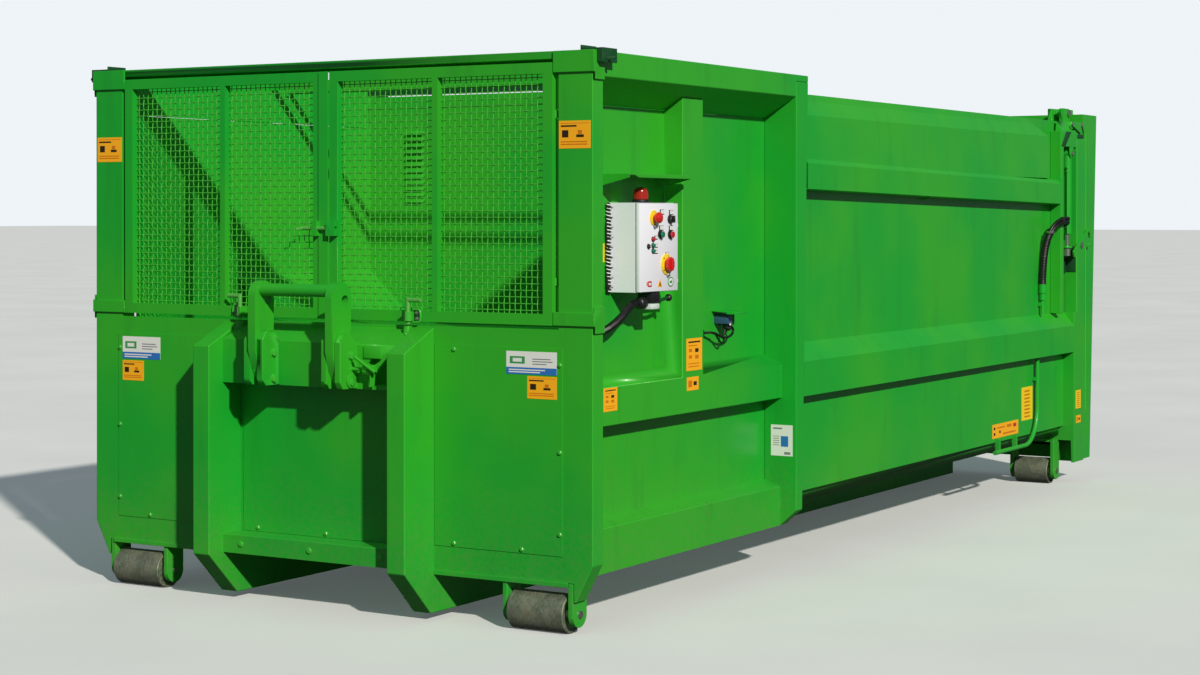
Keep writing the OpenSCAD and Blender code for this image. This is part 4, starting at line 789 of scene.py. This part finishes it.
# Legend plates: the control they belong to, how far aside and above it, and half their width and height
WIDE_LEGEND, NARROW_LEGEND = (17, 10), (13, 7.5)
LEGENDS = (("stop_mushroom", 68, 23, WIDE_LEGEND), ("selector", 12, 27, WIDE_LEGEND),
    ("start", 10, 26, WIDE_LEGEND), ("stop", 9, 26, WIDE_LEGEND), ("lamp_red", 26, 6, NARROW_LEGEND),
    ("lamp_green", 26, -1, NARROW_LEGEND), ("lamp_low", 26, -4, NARROW_LEGEND))
BEACON_PLACE = (CAB_X + 135, -1158, CAB_TOP)
BEACON_RIBS = 24


def build_leaf(door):
    """The door's sheet with its rubber and its two knuckles."""
    y, right = DOOR_Y, CAB_X + CAB_W
    door.block((CAB_X, y, CAB_Z + 2), (right, y + DOOR_DEPTH, CAB_TOP - 2), "cabinet_grey", 2.5)
    door.block((CAB_X + 4, y + DOOR_DEPTH, CAB_Z + 6), (right - 4, y + RUBBER_DEPTH, CAB_TOP - 6),
        "black_rubber")
    for z in KNUCKLE_HEIGHTS:
        door.turned((KNUCKLE_X, y + 10, z), "z", [(0, 5), (1, 6), (14, 6), (15, 5)], "bolt_steel", 20)
        door.block((right - 2, y + 1, z), (KNUCKLE_X, y + 9, z + 15), "bolt_steel", 1)


def build_stop_and_mains_plates(door):
    """The yellow discs under the emergency stop and the main switch, and what is screwed beside them."""
    y = DOOR_Y
    x, z = CONTROL_CENTRES["stop_mushroom"]
    door.turned((x, y, z), "y", [(0, 30), (-3, 30), (-4, 28.5)], "yellow_plastic", 48)
    door.turned((x + 6, y, z - 34), "y", [(0, 8), (-7, 8), (-9, 6)], "label_grey", 20)
    x, z = CONTROL_CENTRES["mains"]
    door.turned((x, y, z), "y", [(0, 41), (-4, 41), (-5, 39.5)], "yellow_plastic", 56)
    for dx in (-24, 24):
        for dz in (-24, 24):
            door.turned((x + dx, y - 5, z + dz), "y", [(0, 3.4), (-1, 3.0)], "black_plastic", 12)
    door.turned((x + 10, y, z - 42), "y", [(0, 9), (-8, 9), (-11, 6)], "bright_steel", 20)
    door.block((x - 6, y - 2, z + 36), (x + 22, y, z + 48), "label_grey", 0.5)
    door.block((x - 2, y - 2.6, z + 38), (x + 18, y - 2, z + 46), "label_white")


def build_rings_and_lamps(door):
    """The collars of the knobs, the small lamps, the key switch and the legend plates."""
    y = DOOR_Y
    for name in ("selector", "start", "stop"):
        x, z = CONTROL_CENTRES[name]
        door.turned((x, y, z), "y", [(0, 17), (-5, 17), (-6, 15)], "black_plastic", 36)
    for name, finish in LAMP_LENSES.items():
        x, z = CONTROL_CENTRES[name]
        door.turned((x, y, z), "y", [(0, 10.5), (-3, 10.5), (-4, 9.5)], "black_plastic", 28)
        door.turned((x, y - 4, z), "y", [(0, 8.5), (-4, 8), (-7, 6), (-8, 2)], finish, 24)
    x, z = CONTROL_CENTRES["key"]
    door.turned((x, y - 12, z), "y", [(0, 3.2), (-1, 3)], "label_white", 16)
    for name, aside, above, (wide, tall) in LEGENDS:
        x, z = CONTROL_CENTRES[name]
        left, right, low, high = x + aside - wide, x + aside + wide, z + above - tall, z + above + tall
        door.block((left, y - 2, low), (right, y, high), "black_plastic", 0.6)
        door.block((left + 5, y - 2.8, low + 3), (right - 1.5, y - 2, high - 1.5), "label_white")


def oval(x, z, half_width, half_height, sides=40):
    """An upright oval outline round a centre."""
    return [(x + half_width * math.cos(t), z + half_height * math.sin(t)) for t in around(sides)]


def build_foot_plates(door):
    """The small plain plates at the foot of the door."""
    y = DOOR_Y
    door.block((440, y - 1, 1304), (446, y, 1320), "label_red")
    door.block((450, y - 1, 1300), (478, y, 1323), "label_red", 0.4)
    door.block((456, y - 1.6, 1306), (472, y - 1, 1316), "label_white")
    door.prism([(526, 1298), (562, 1298), (544, 1332)], "y", y - 1, y, "label_orange", 0.4)
    door.prism([(537, 1303), (551, 1303), (544, 1320)], "y", y - 1.5, y - 1, "label_black")
    door.prism(oval(632, 1316, 24, 20), "y", y - 0.8, y, "label_green")
    door.prism(oval(632, 1316, 19, 15), "y", y - 1.4, y - 0.8, "label_white")
    door.prism([(620, 1311), (644, 1311), (640, 1322), (624, 1320)], "y", y - 1.9, y - 1.4, "label_green")


def build_door():
    """The cabinet door with its rings, lamps, legend plates and the small plates at its foot."""
    door = Shape()
    build_leaf(door)
    build_stop_and_mains_plates(door)
    build_rings_and_lamps(door)
    build_foot_plates(door)
    door.place("door_panel", "panel_door", "cabinet_grey", "cabinet_door")


def start_knob(control, rings, finish, sides=32):
    """A turned knob at its control: its shape, and the place of its centre."""
    x, z = CONTROL_CENTRES[control]
    knob = Shape()
    knob.turned((x, DOOR_Y, z), "y", rings, finish, sides)
    return knob, x, z


def build_knobs():
    """The knob or cap of each control, on its own body."""
    y = DOOR_Y
    mushroom = [(4, 8), (-10.5, 8), (-10.6, 15), (-19, 15), (-19.5, 20), (-22, 22), (-29, 22), (-33.5, 19),
        (-36, 12), (-37, 3)]
    knob, x, z = start_knob("stop_mushroom", mushroom, "red_plastic", 48)
    knob.place("stop_head", "stop_mushroom", "red_plastic", "emergency_stop")

    collar = [(4, 8), (-6.5, 8), (-6.6, 14), (-15, 14), (-16.5, 12.5)]
    pointer = [(-3, -14), (3, -14), (5, 12), (0, 15), (-5, 12)]
    knob, x, z = start_knob("selector", collar, "black_plastic")
    knob.prism([(x + a, z + b) for a, b in pointer], "y", y - 26, y - 16, "black_plastic", 1.5)
    knob.block((x - 0.8, y - 26.4, z + 2), (x + 0.8, y - 26, z + 13), "label_white")
    knob.place("selector_knob", "selector", "black_plastic", "selector_switch")

    cap = [(4, 8), (-12, 8), (-12.1, 13), (-16.5, 13), (-18, 11.5)]
    for body, node, colour in PUSH_BUTTONS:
        knob, x, z = start_knob(body, cap, colour + "_lamp")
        knob.place(body + "_cap", body, colour + "_plastic", node)

    boss = [(4, 8), (-7.0, 8), (-7.1, 22), (-14, 22)]
    reach = [(t, 29 * (1 - 0.10 * math.cos(3 * t) ** 2)) for t in around(60)]
    knob, x, z = start_knob("mains", boss, "red_plastic")
    knob.prism([(x + r * math.cos(t), z + r * math.sin(t)) for t, r in reach], "y", y - 25, y - 13,
        "red_plastic", 1.6)
    knob.prism([(x - 6, z - 25), (x + 6, z - 25), (x + 6, z + 25), (x - 6, z + 25)], "y", y - 34, y - 24,
        "red_plastic", 2)
    knob.place("mains_knob", "mains", "red_plastic", "main_switch")


def build_beacon():
    """A ribbed dome on its black foot."""
    shape = Shape()
    x, y, z = BEACON_PLACE
    dome = [(0, 29), (3, 29), (30, 28), (38, 26), (45, 20), (48, 10), (49, 2)]
    shape.turned((x, y, z), "z", [(0, 34), (4, 35), (11, 34), (14, 31)], "black_plastic", 40)
    shape.turned((x, y, z + 14), "z", dome, "beacon_red", 40)
    for t in around(BEACON_RIBS):
        c, s = math.cos(t), math.sin(t)
        foot, tip = (x + 28.6 * c, y + 28.6 * s, z + 17), (x + 27.8 * c, y + 27.8 * s, z + 44)
        shape.tube([foot, tip], 1.2, "beacon_red", 5)
    shape.place("beacon_lamp", "container", "beacon_red", "beacon")


# ---- wires and plug at the cabinet ----

# The wrapped wires: distance from the left, radius and finish of each
WIRES = ((6, 6.5, "cable_black"), (14, 7.5, "cable_black"), (22, 6, "label_grey"))
WRAP_X = (CAB_X - 33, CAB_X - 5)
WRAP_TURNS = 25
WRAP_STEPS = 12
CLIPS = 9
CLIP_PITCH = 39
PLUG_PLACE = (CAB_X + 45, -1190, CAB_Z - 43)
PLUG_RIBS = 10
GLAND_PLACE = (CAB_X - 199, -1114, CAB_Z - 167)


def build_wire_wrap():
    """Three wires beside the cabinet in a white spiral, with their clips."""
    shape = Shape()
    x0, x1 = WRAP_X
    back = HOPPER_SIDE_Y
    for i, (dx, radius, finish) in enumerate(WIRES):
        run = [(x0 + dx + 3 * math.sin(z / 31 + 2 * i), back - 9 - 2 * math.cos(z / 23 + i), z)
            for z in range(CAB_Z, CAB_TOP + 1, 13)]
        shape.tube(run, radius, finish, 10)
    spiral = []
    for k in range(WRAP_TURNS * WRAP_STEPS + 1):
        t = 2 * math.pi * k / WRAP_STEPS
        height = CAB_Z + CAB_H * k / (WRAP_TURNS * WRAP_STEPS)
        spiral.append((x0 + 14 + 13.5 * math.cos(t), back - 11 - 9 * math.sin(t), height))
    shape.tube(spiral, 2.3, "label_white", 6)
    for i in range(CLIPS):
        z = CAB_Z + 18 + i * CLIP_PITCH
        shape.block((x0 - 1, back - 21, z), (x1 + 1, back, z + 4), "black_plastic", 1)
    shape.place("wire_wrap", "container", "black_plastic", "cable_duct")


def build_plug():
    """The inlet under the cabinet with its flap, its plug and handle, and the gland on the hopper side."""
    shape = Shape()
    x, y, z = PLUG_PLACE
    shape.block((x + 66, y - 34, z - 2), (x + 128, y + 34, CAB_Z), "black_plastic", 4)
    for i in range(5):
        left = x + 70 + i * 11
        shape.block((left, y - 36, z + 2), (left + 5, y - 30, CAB_Z - 6), "black_plastic", 1)
    shape.block((x + 60, y - 34, z - 26), (x + 128, y + 34, z - 3), "label_pale", 5)
    barrel = [(0, 18), (3, 19), (14, 19), (17, 22), (20, 24), (52, 24), (60, 21)]
    shape.turned((x, y, z), "x", barrel, "black_plastic", 28)
    for t in around(PLUG_RIBS):
        ridge = (y + 23 * math.cos(t), z + 23 * math.sin(t))
        shape.tube([(x + 20, *ridge), (x + 50, *ridge)], 2.2, "black_plastic", 6)
    lever = [(x + 128, y - 10, z + 8), (x + 170, y - 10, z + 6), (x + 232, y - 10, z + 16)]
    shape.tube(lever, 7, "dark_bracket", 12)
    grip = [(0, 6), (4, 12), (10, 15), (17, 14), (22, 8)]
    shape.turned((x + 228, y - 10, z + 15), "x", grip, "black_plastic", 20)
    x, y, z = GLAND_PLACE
    shape.block((x - 34, y - 22, z - 22), (x - 4, HOPPER_SIDE_Y, z + 22), "dark_bracket", 3)
    shape.turned((x - 4, y, z), "x", [(0, 21), (4, 21), (5, 19)], "black_plastic", 6)
    shape.place("plug_and_handle", "container", "black_plastic", "power_inlet")


# ---- fastenings ----

# A bolt longer than this runs right through a cheek
THROUGH_BOLT = 40


def islands(mesh):
    """The loose parts of a mesh, each as a list of its points."""
    work = bmesh.new()
    work.from_mesh(mesh)
    bmesh.ops.remove_doubles(work, verts=work.verts, dist=WELD)
    reached = set()
    parts = []
    for first in work.verts:
        if first in reached:
            continue
        reached.add(first)
        part = [first]
        for vert in part:
            near = [e.other_vert(vert) for e in vert.link_edges]
            part += [v for v in near if v not in reached]
            reached.update(near)
        parts.append([vert.co.copy() for vert in part])
    work.free()
    return parts


def local(point):
    """A place in the scene, in millimetres from the hook-end face."""
    return Vector(((point.x - face_x) * 1000, point.y * 1000, point.z * 1000))


def hex_head(shape, centre, axis, way, reach, radius, finish):
    """A washer and a chamfered hexagon head that stands reach proud of its seat."""
    washer = [(-0.4, 1.12), (1.4, 1.12), (1.8, 1.04)]
    head = [(1.8, 1), (reach * 0.80, 1), (reach, 0.84)]
    dimple = [(reach, 0.5), (reach * 1.02, 0.46)]
    for profile, sides in ((washer, 24), (head, 6), (dimple, 16)):
        shape.turned(centre, axis, [(way * d, radius * r) for d, r in profile], finish, sides)


def build_bolts():
    """Every bolt again with its washer, its chamfered head and, on the cheeks, its nut."""
    source = nodes["bolts"]
    shape = Shape()
    for part in islands(source.data):
        places = [local(source.matrix_world @ p) for p in part]
        low = Vector([min(p[i] for p in places) for i in range(3)])
        high = Vector([max(p[i] for p in places) for i in range(3)])
        size, middle = high - low, (low + high) / 2
        if size.y > THROUGH_BOLT:
            radius = size.z / 2 * 0.97
            shank = [(0, radius * 0.6), (size.y - 24, radius * 0.6)]
            shape.turned((middle.x, low.y + 12, middle.z), "y", shank, "bolt_paint", 20)
            hex_head(shape, (middle.x, low.y + 14, middle.z), "y", -1, 12, radius, "bolt_paint")
            hex_head(shape, (middle.x, high.y - 18, middle.z), "y", 1, 14, radius, "bolt_paint")
        else:
            seat = (high.x, middle.y, middle.z)
            hex_head(shape, seat, "x", -1, size.x * 0.95, size.z / 2 * 0.85, "bolt_paint")
    shape.place("bolt_heads", "container", "bolt_steel", "bolts")


# ---- hopper mouth ----

# The vent in the wall behind the hopper: how many slots, their pitch and width, and the lowest one's place
LOUVRES = 12
LOUVRE_PITCH = 30
LOUVRE_WIDTH = 100
LOUVRE_X, LOUVRE_Y, LOUVRE_Z = 1740, 757, 1640
NET_RAIL_X, NET_RAIL_Z = 1112, 2161
NET_RAIL_RADIUS = 14


def build_louvres():
    """Pressed hoods over the slots of the vent in the wall behind the hopper."""
    shape = Shape()
    hood = [(0.5, 20), (-3, 20), (-15, 4), (-15, 1), (-12.5, 1), (0.5, 16)]
    ends = (LOUVRE_Y - 4, LOUVRE_Y + LOUVRE_WIDTH + 4)
    for i in range(LOUVRES):
        z = LOUVRE_Z + i * LOUVRE_PITCH
        shape.loft([[(LOUVRE_X + a, y, z + b) for a, b in hood] for y in ends], "painted_green", 0.8)
    shape.place("vent_hoods", "container", "painted_green")


def build_net_rail():
    """Round rail across the hopper mouth, behind the reach of the open gates."""
    shape = Shape()
    x, z = NET_RAIL_X, NET_RAIL_Z
    wall = -HOPPER_SIDE_Y
    shape.tube([(x, 2 - wall, z), (x, wall - 2, z)], NET_RAIL_RADIUS, "painted_green", 24)
    for side in (-1, 1):
        low, high = sorted((side * (wall - 8), side * wall))
        shape.block((x - 24, low, z - 24), (x + 24, high, z + 24), "painted_green", 2)
    shape.place("net_rail", "container", "painted_green")


# ---- chains and guides at the gates ----

CHAIN_Y = 430
CHAIN_Z = 1118
DROP_Y = 424
LINKS = 8
LINK_RADIUS = 1.5
# Half the length and half the width of a link
LINK_SIZE = (9, 4.5)


def link_chain(shape, start, end, sag, finish):
    """A short chain of oval links that hangs between two places."""
    a, b = Vector(start), Vector(end)
    count = LINKS
    for i in range(count):
        t = (i + 0.5) / count
        middle = a.lerp(b, t) - Vector((0, 0, 4 * sag * t * (1 - t)))
        ahead = (b - a) / count - Vector((0, 0, 4 * sag * (1 - 2 * t) / count))
        ahead.normalize()
        side = ahead.orthogonal().normalized()
        if i % 2:
            side = ahead.cross(side)
        ring = []
        for t in around(20) + [2 * math.pi]:
            ring.append(middle + ahead * LINK_SIZE[0] * math.cos(t) + side * LINK_SIZE[1] * math.sin(t))
        shape.tube(ring, LINK_RADIUS, finish, 8)


def build_latches():
    """The chains at the drop bolts and the small fittings of the hook beam."""
    shape = Shape()
    for side in (-1, 1):
        y = side * CHAIN_Y
        link_chain(shape, (-49, y + 4, CHAIN_Z), (-14, y + 40, CHAIN_Z), 26, "bright_steel")
        shape.block((-20, y + 32, 1112), (-4, y + 50, 1130), "painted_green", 2)
    shape.block((-122, -362, 1022), (-114.5, -276, 1070), "painted_green", 2)
    shape.turned((-158, -242, 934), "y", [(0, 26), (-1, 28), (-5, 28), (-6, 26)], "painted_green", 36)
    shape.place("latch_chains", "container", "bright_steel")


def build_guides():
    """The strap, the dark backing plate and the two screws at each gate's drop bolt."""
    strap = [(438, 1212), (462, 1213), (471, 1206), (474, 1188), (471, 1170), (462, 1163), (438, 1163)]
    for side, leaf in ((1, "left"), (-1, "right")):
        shape = Shape()
        shape.tube(smooth_path([(-15, side * y, z) for y, z in strap], 4), 4.5, "bolt_paint")
        low, high = sorted((side * 440.3, side * 468))
        shape.block((-12, low, 1166), (-7.5, high, 1208), "dark_bracket", 1)
        for z in (1176, 1199):
            hex_head(shape, (-12, side * 455, z), "x", -1, 7, 7, "bright_steel")
        shape.tube([(-46, side * DROP_Y, 1204), (-46, side * DROP_Y, 1169)], 3, "bright_steel")
        shape.place("drop_guide_" + leaf, "leaf_" + leaf, "painted_green")


# ---- tailgate locks ----

# The cylinder's line, the height of its upper pin, and the rod that runs down beside it
LOCK_X = 5440
LOCK_EYE_Z = 1939
BRACE_ROD_X = 5406
# Outer face of the frame's plates, measured from the middle line
PLATE_Y = 1249.5
ROD_Y = 1252
LUG_CHEEKS = ((1190, 1197), (1239, 1247))
LUG = [(LOCK_X - 30, 1977), (LOCK_X + 30, 1977), (LOCK_X + 30, 1936), (LOCK_X + 16, 1912),
    (LOCK_X - 16, 1912), (LOCK_X - 30, 1936)]
# Outlines in x and z, the last in y and z, of pieces painted dark as shade: a bar for a shaded slot, a strip
# for the shadow under the post's overhang, and plates for the shaded pocket round the cylinder's foot
SLOT_SHADE_BAR = [(5406, 2064), (5332, 2064), (5246, 1978), (5302, 1978)]
POST_TOP_SHADOW = [(5524, 2029), (5634, 2033), (5634, 2056), (5524, 2052)]
POCKET_SHADE_BELL = [(5418, 1395), (5513, 1395), (5513, 1250), (5492, 1236), (5440, 1231), (5418, 1250)]
POCKET_SHADE_END = [(1189, 1246), (1246, 1246), (1246, 1395), (1189, 1395)]


def build_lock_upper(shape, side):
    """The brace, the lug with its pin, and the rods under the hinge of the tailgate; brace, post strip and
    rods are painted dark as the shade of the slot and overhang they sit in.
    """
    # A bar painted dark as the shade of the slot it lies in
    shape.prism(SLOT_SHADE_BAR, "y", side * PLATE_Y, side * 1256, "dark_bracket", 1)
    for inner, outer in LUG_CHEEKS:
        shape.prism(LUG, "y", side * inner, side * outer, "painted_green", 1)
    hex_head(shape, (LOCK_X, side * 1247, LOCK_EYE_Z), "y", side, 11, 14, "bright_steel")
    # A plate painted dark as the shadow under the overhang at the post's top
    shape.prism(POST_TOP_SHADOW, "y", side * PLATE_Y, side * 1254, "dark_bracket", 1)
    # Rods painted dark as the shaded lines under the gusset
    shape.tube([(5423, side * ROD_Y, 2100), (5562, side * ROD_Y, 2060)], 6, "dark_bracket")
    shape.tube([(5608, side * ROD_Y, 2098), (5630, side * ROD_Y, 2062)], 5, "dark_bracket")
    for x in (5441, 5603):
        hex_head(shape, (x, side * 1250, 2110), "y", side, 9, 11, "bright_steel")


def build_lock_lower(shape, side):
    """The rod with its two collars, the dark plates in the pocket round the cylinder's foot, its ring, and a
    long rod in lighter paint by the post's edge. The dark plates are painted shade in the recess; the light
    rod is a painted highlight along the edge.
    """
    for z in (1828, 1852):
        shape.turned((BRACE_ROD_X, side * 1231, z), "z", [(0, 7), (1, 9), (9, 9), (10, 7)], "bolt_paint", 20)
    shape.tube([(BRACE_ROD_X, side * 1231, 1864), (BRACE_ROD_X, side * 1231, 1470)], 4.5, "bolt_paint")
    # Dark plates on the back and end of the pocket: painted shade in the recess
    shape.prism(POCKET_SHADE_BELL, "y", side * 1183.5, side * 1189, "dark_bracket", 1)
    shape.prism([(side * y, z) for y, z in POCKET_SHADE_END], "x", 5509, 5515.5, "dark_bracket", 1)
    ring = [(0, 24), (3, 29), (11, 29), (14, 20)]
    shape.turned((LOCK_X, side * 1218, 1384), "z", ring, "painted_green", 28)
    # A rod in lighter, glossier paint along the post's edge: a painted highlight
    shape.tube([(5520, side * 1249, 2028), (5520, side * 1249, 1015)], 3.5, "bolt_paint")


def build_lock_gear():
    """Braces, lugs, pins and dark pocket plates round the lock cylinders, and light rods on the tailgate. The
    dark pieces are painted shade; the light rods are painted highlights along the edges.
    """
    shape, highlight_rods = Shape(), Shape()
    for side in (-1, 1):
        build_lock_upper(shape, side)
        build_lock_lower(shape, side)
        # A rod in lighter, glossier paint along each groove edge of the tailgate: a painted highlight
        highlight_rods.tube([(5706, side * 1240, 2060), (5706, side * 1240, 420)], 4, "bolt_paint")
    shape.place("lock_gear", "container", "painted_green")
    highlight_rods.place("tailgate_beads", "rear_door", "painted_green")


# ---- remote control socket ----

SOCKET_X = 1262
# Face of the hopper side that the socket, its hood and its bracket stand on
SOCKET_BACK = HOPPER_SIDE_Y + 0.5
HOOD = [(SOCKET_BACK, 1171), (SOCKET_BACK, 1175), (-1203, 1169), (-1203, 1161), (-1200, 1161), (-1200, 1166)]
LEAD_RUN = [(1300, -1140, 1098), (1322, -1140, 1106), (1343, -1140, 1097), (1347, -1140, 1083),
    (1330, -1140, 1069), (1301, -1140, 1061), (1272, -1140, 1060), (1244, -1140, 1064), (1215, -1140, 1072),
    (1191, -1138, 1081), (1166, -1130, 1086), (1150, -1120, 1086), (1130, -1110, 1085)]
LOOP_RUN = [(1288, -1132, 1096), (1279, -1130, 1066), (1281, -1130, 1048), (1266, -1130, 1037),
    (1245, -1130, 1045), (1224, -1130, 1060), (1204, -1131, 1076), (1184, -1130, 1082)]
LEAD_RADIUS, LOOP_RADIUS = 5.2, 4.2


def build_remote():
    """The hooded socket on the hopper side, with its plug and the looped lead."""
    shape = Shape()
    x, back = SOCKET_X, SOCKET_BACK
    shape.prism(HOOD, "x", x - 22, x + 100, "painted_green", 0.8)
    shape.block((x, -1160, 1118), (x + 40, back, 1154), "socket_blue", 3)
    shape.block((x + 40.5, -1148, 1112), (x + 84, back, 1156), "dark_bracket", 2)
    shape.block((x + 12, -1164, 1112), (x + 23, -1159.5, 1121), "label_white", 1.5)
    plug = [(0, 17), (-4, 20), (-20, 20), (-26, 11), (-31, 9)]
    shape.turned((x + 38, -1138, 1119), "z", plug, "black_plastic", 28)
    shape.block((1104, -1118, 1071), (1131, back, 1099), "dark_bracket", 3)
    shape.place("hooded_socket", "container", "dark_bracket", "remote_socket")
    lead = Shape()
    for run, radius in ((LEAD_RUN, LEAD_RADIUS), (LOOP_RUN, LOOP_RADIUS)):
        lead.tube(smooth_path(run, 6), radius, "cable_black", 14)
    lead.place("remote_lead", "container", "cable_black", "remote_cable")


# ---- hoses ----

HOSE_START = (5044, -1250, 1184)
HOSE_RUN = [(0, 42, 0), (0, 42, 30), (8, 41, 96), (16, 38, 160), (22, 30, 220), (26, 20, 260), (38, 8, 296),
    (62, -6, 328), (98, -18, 350), (146, -26, 362), (196, -28, 366), (246, -26, 364), (286, -10, 356),
    (320, 18, 344), (342, 32, 340), (360, 32, 340)]
# How many of the points lie in the sleeve, and which one the clamp sits on
SLEEVE_END = 7
CLAMP = 9
STRAND_RADIUS = 9.6


def build_strand(shape, run, way):
    """One of the two hoses, with the ferrule at its end."""
    strand = []
    for i in range(SLEEVE_END - 2, len(run)):
        ahead = (run[min(i + 1, len(run) - 1)] - run[max(i - 1, 0)]).normalized()
        aside = Vector((-ahead.z, 0, ahead.x)).normalized()
        spread = 9 if i < SLEEVE_END else 11
        strand.append(run[i] + aside * way * spread)
    shape.tube(smooth_path(strand, 5), STRAND_RADIUS, "cable_black", 14)
    ferrule = [(0, 10.2), (2, 10.8), (24, 10.8), (26, 9), (30, 9), (31, 10.9), (42, 10.9)]
    tip = strand[-1]
    shape.turned((tip.x - 44, tip.y, tip.z), "x", ferrule, "bright_steel", 18)


def build_hoses():
    """Two hoses side by side, in a ribbed sleeve up to the bend."""
    run = [Vector(HOSE_START) + Vector(p) for p in HOSE_RUN]
    shape = Shape()
    sleeve = line_mesh(smooth_path(run[:SLEEVE_END], 4))
    shape.add_mesh(hose_skin().bake(sleeve, Radius=0.0212, Ridge=0.0009, Pitch=0.009), "cable_black")
    end = run[SLEEVE_END - 1]
    band = [(0, 23), (3, 24.5), (10, 24.5), (13, 22)]
    shape.turned((end.x - 1, end.y, end.z - 6), "z", band, "bright_steel", 28)
    for way in (-1, 1):
        build_strand(shape, run, way)
    half = Vector((8, 11, 22))
    shape.block(run[CLAMP] - half, run[CLAMP] + half, "black_plastic", 3)
    shape.place("hose_pair", "container", "cable_black", "hose_bundle")


# ---- floor ----

# The floor as it is seen, in two drifting tones, and as it lights the container from below
FLOOR_TONES = (tone(228, 229, 230), tone(222, 223, 225))
YARD_TONE = tone(74, 76, 76)


def lay_floor():
    """A pale floor for the eye, which throws as little light upwards as a dark yard does."""
    half = FLOOR_SIZE / 2
    corners = [(-half, -half, 0), (half, -half, 0), (half, half, 0), (-half, half, 0)]
    mesh = bpy.data.meshes.new("floor")
    mesh.from_pydata(corners, [], [(0, 1, 2, 3)])
    floor = bpy.data.objects.new("floor", mesh)
    scene.collection.objects.link(floor)
    f = Finish("floor")
    seen = f.blend(f.ramp(f.noise(0.6, 4), 0.3, 0.7), *FLOOR_TONES)
    base = f.blend(f.add("ShaderNodeLightPath", {}, {}, "Is Camera Ray"), YARD_TONE, seen)
    mesh.materials.append(f.coat(base_color=base, roughness=0.9))


# ---- the build ----

set_camera()
hang_lamps()
set_sky()
lay_floor()
finishes = make_finishes()

dress_nodes()

work_all_edges()
weave_gates()
print_labels()
build_door()
build_knobs()
build_beacon()
build_wire_wrap()
build_plug()
build_bolts()
build_louvres()
build_net_rail()
build_latches()
build_guides()
build_lock_gear()
build_remote()
build_hoses()
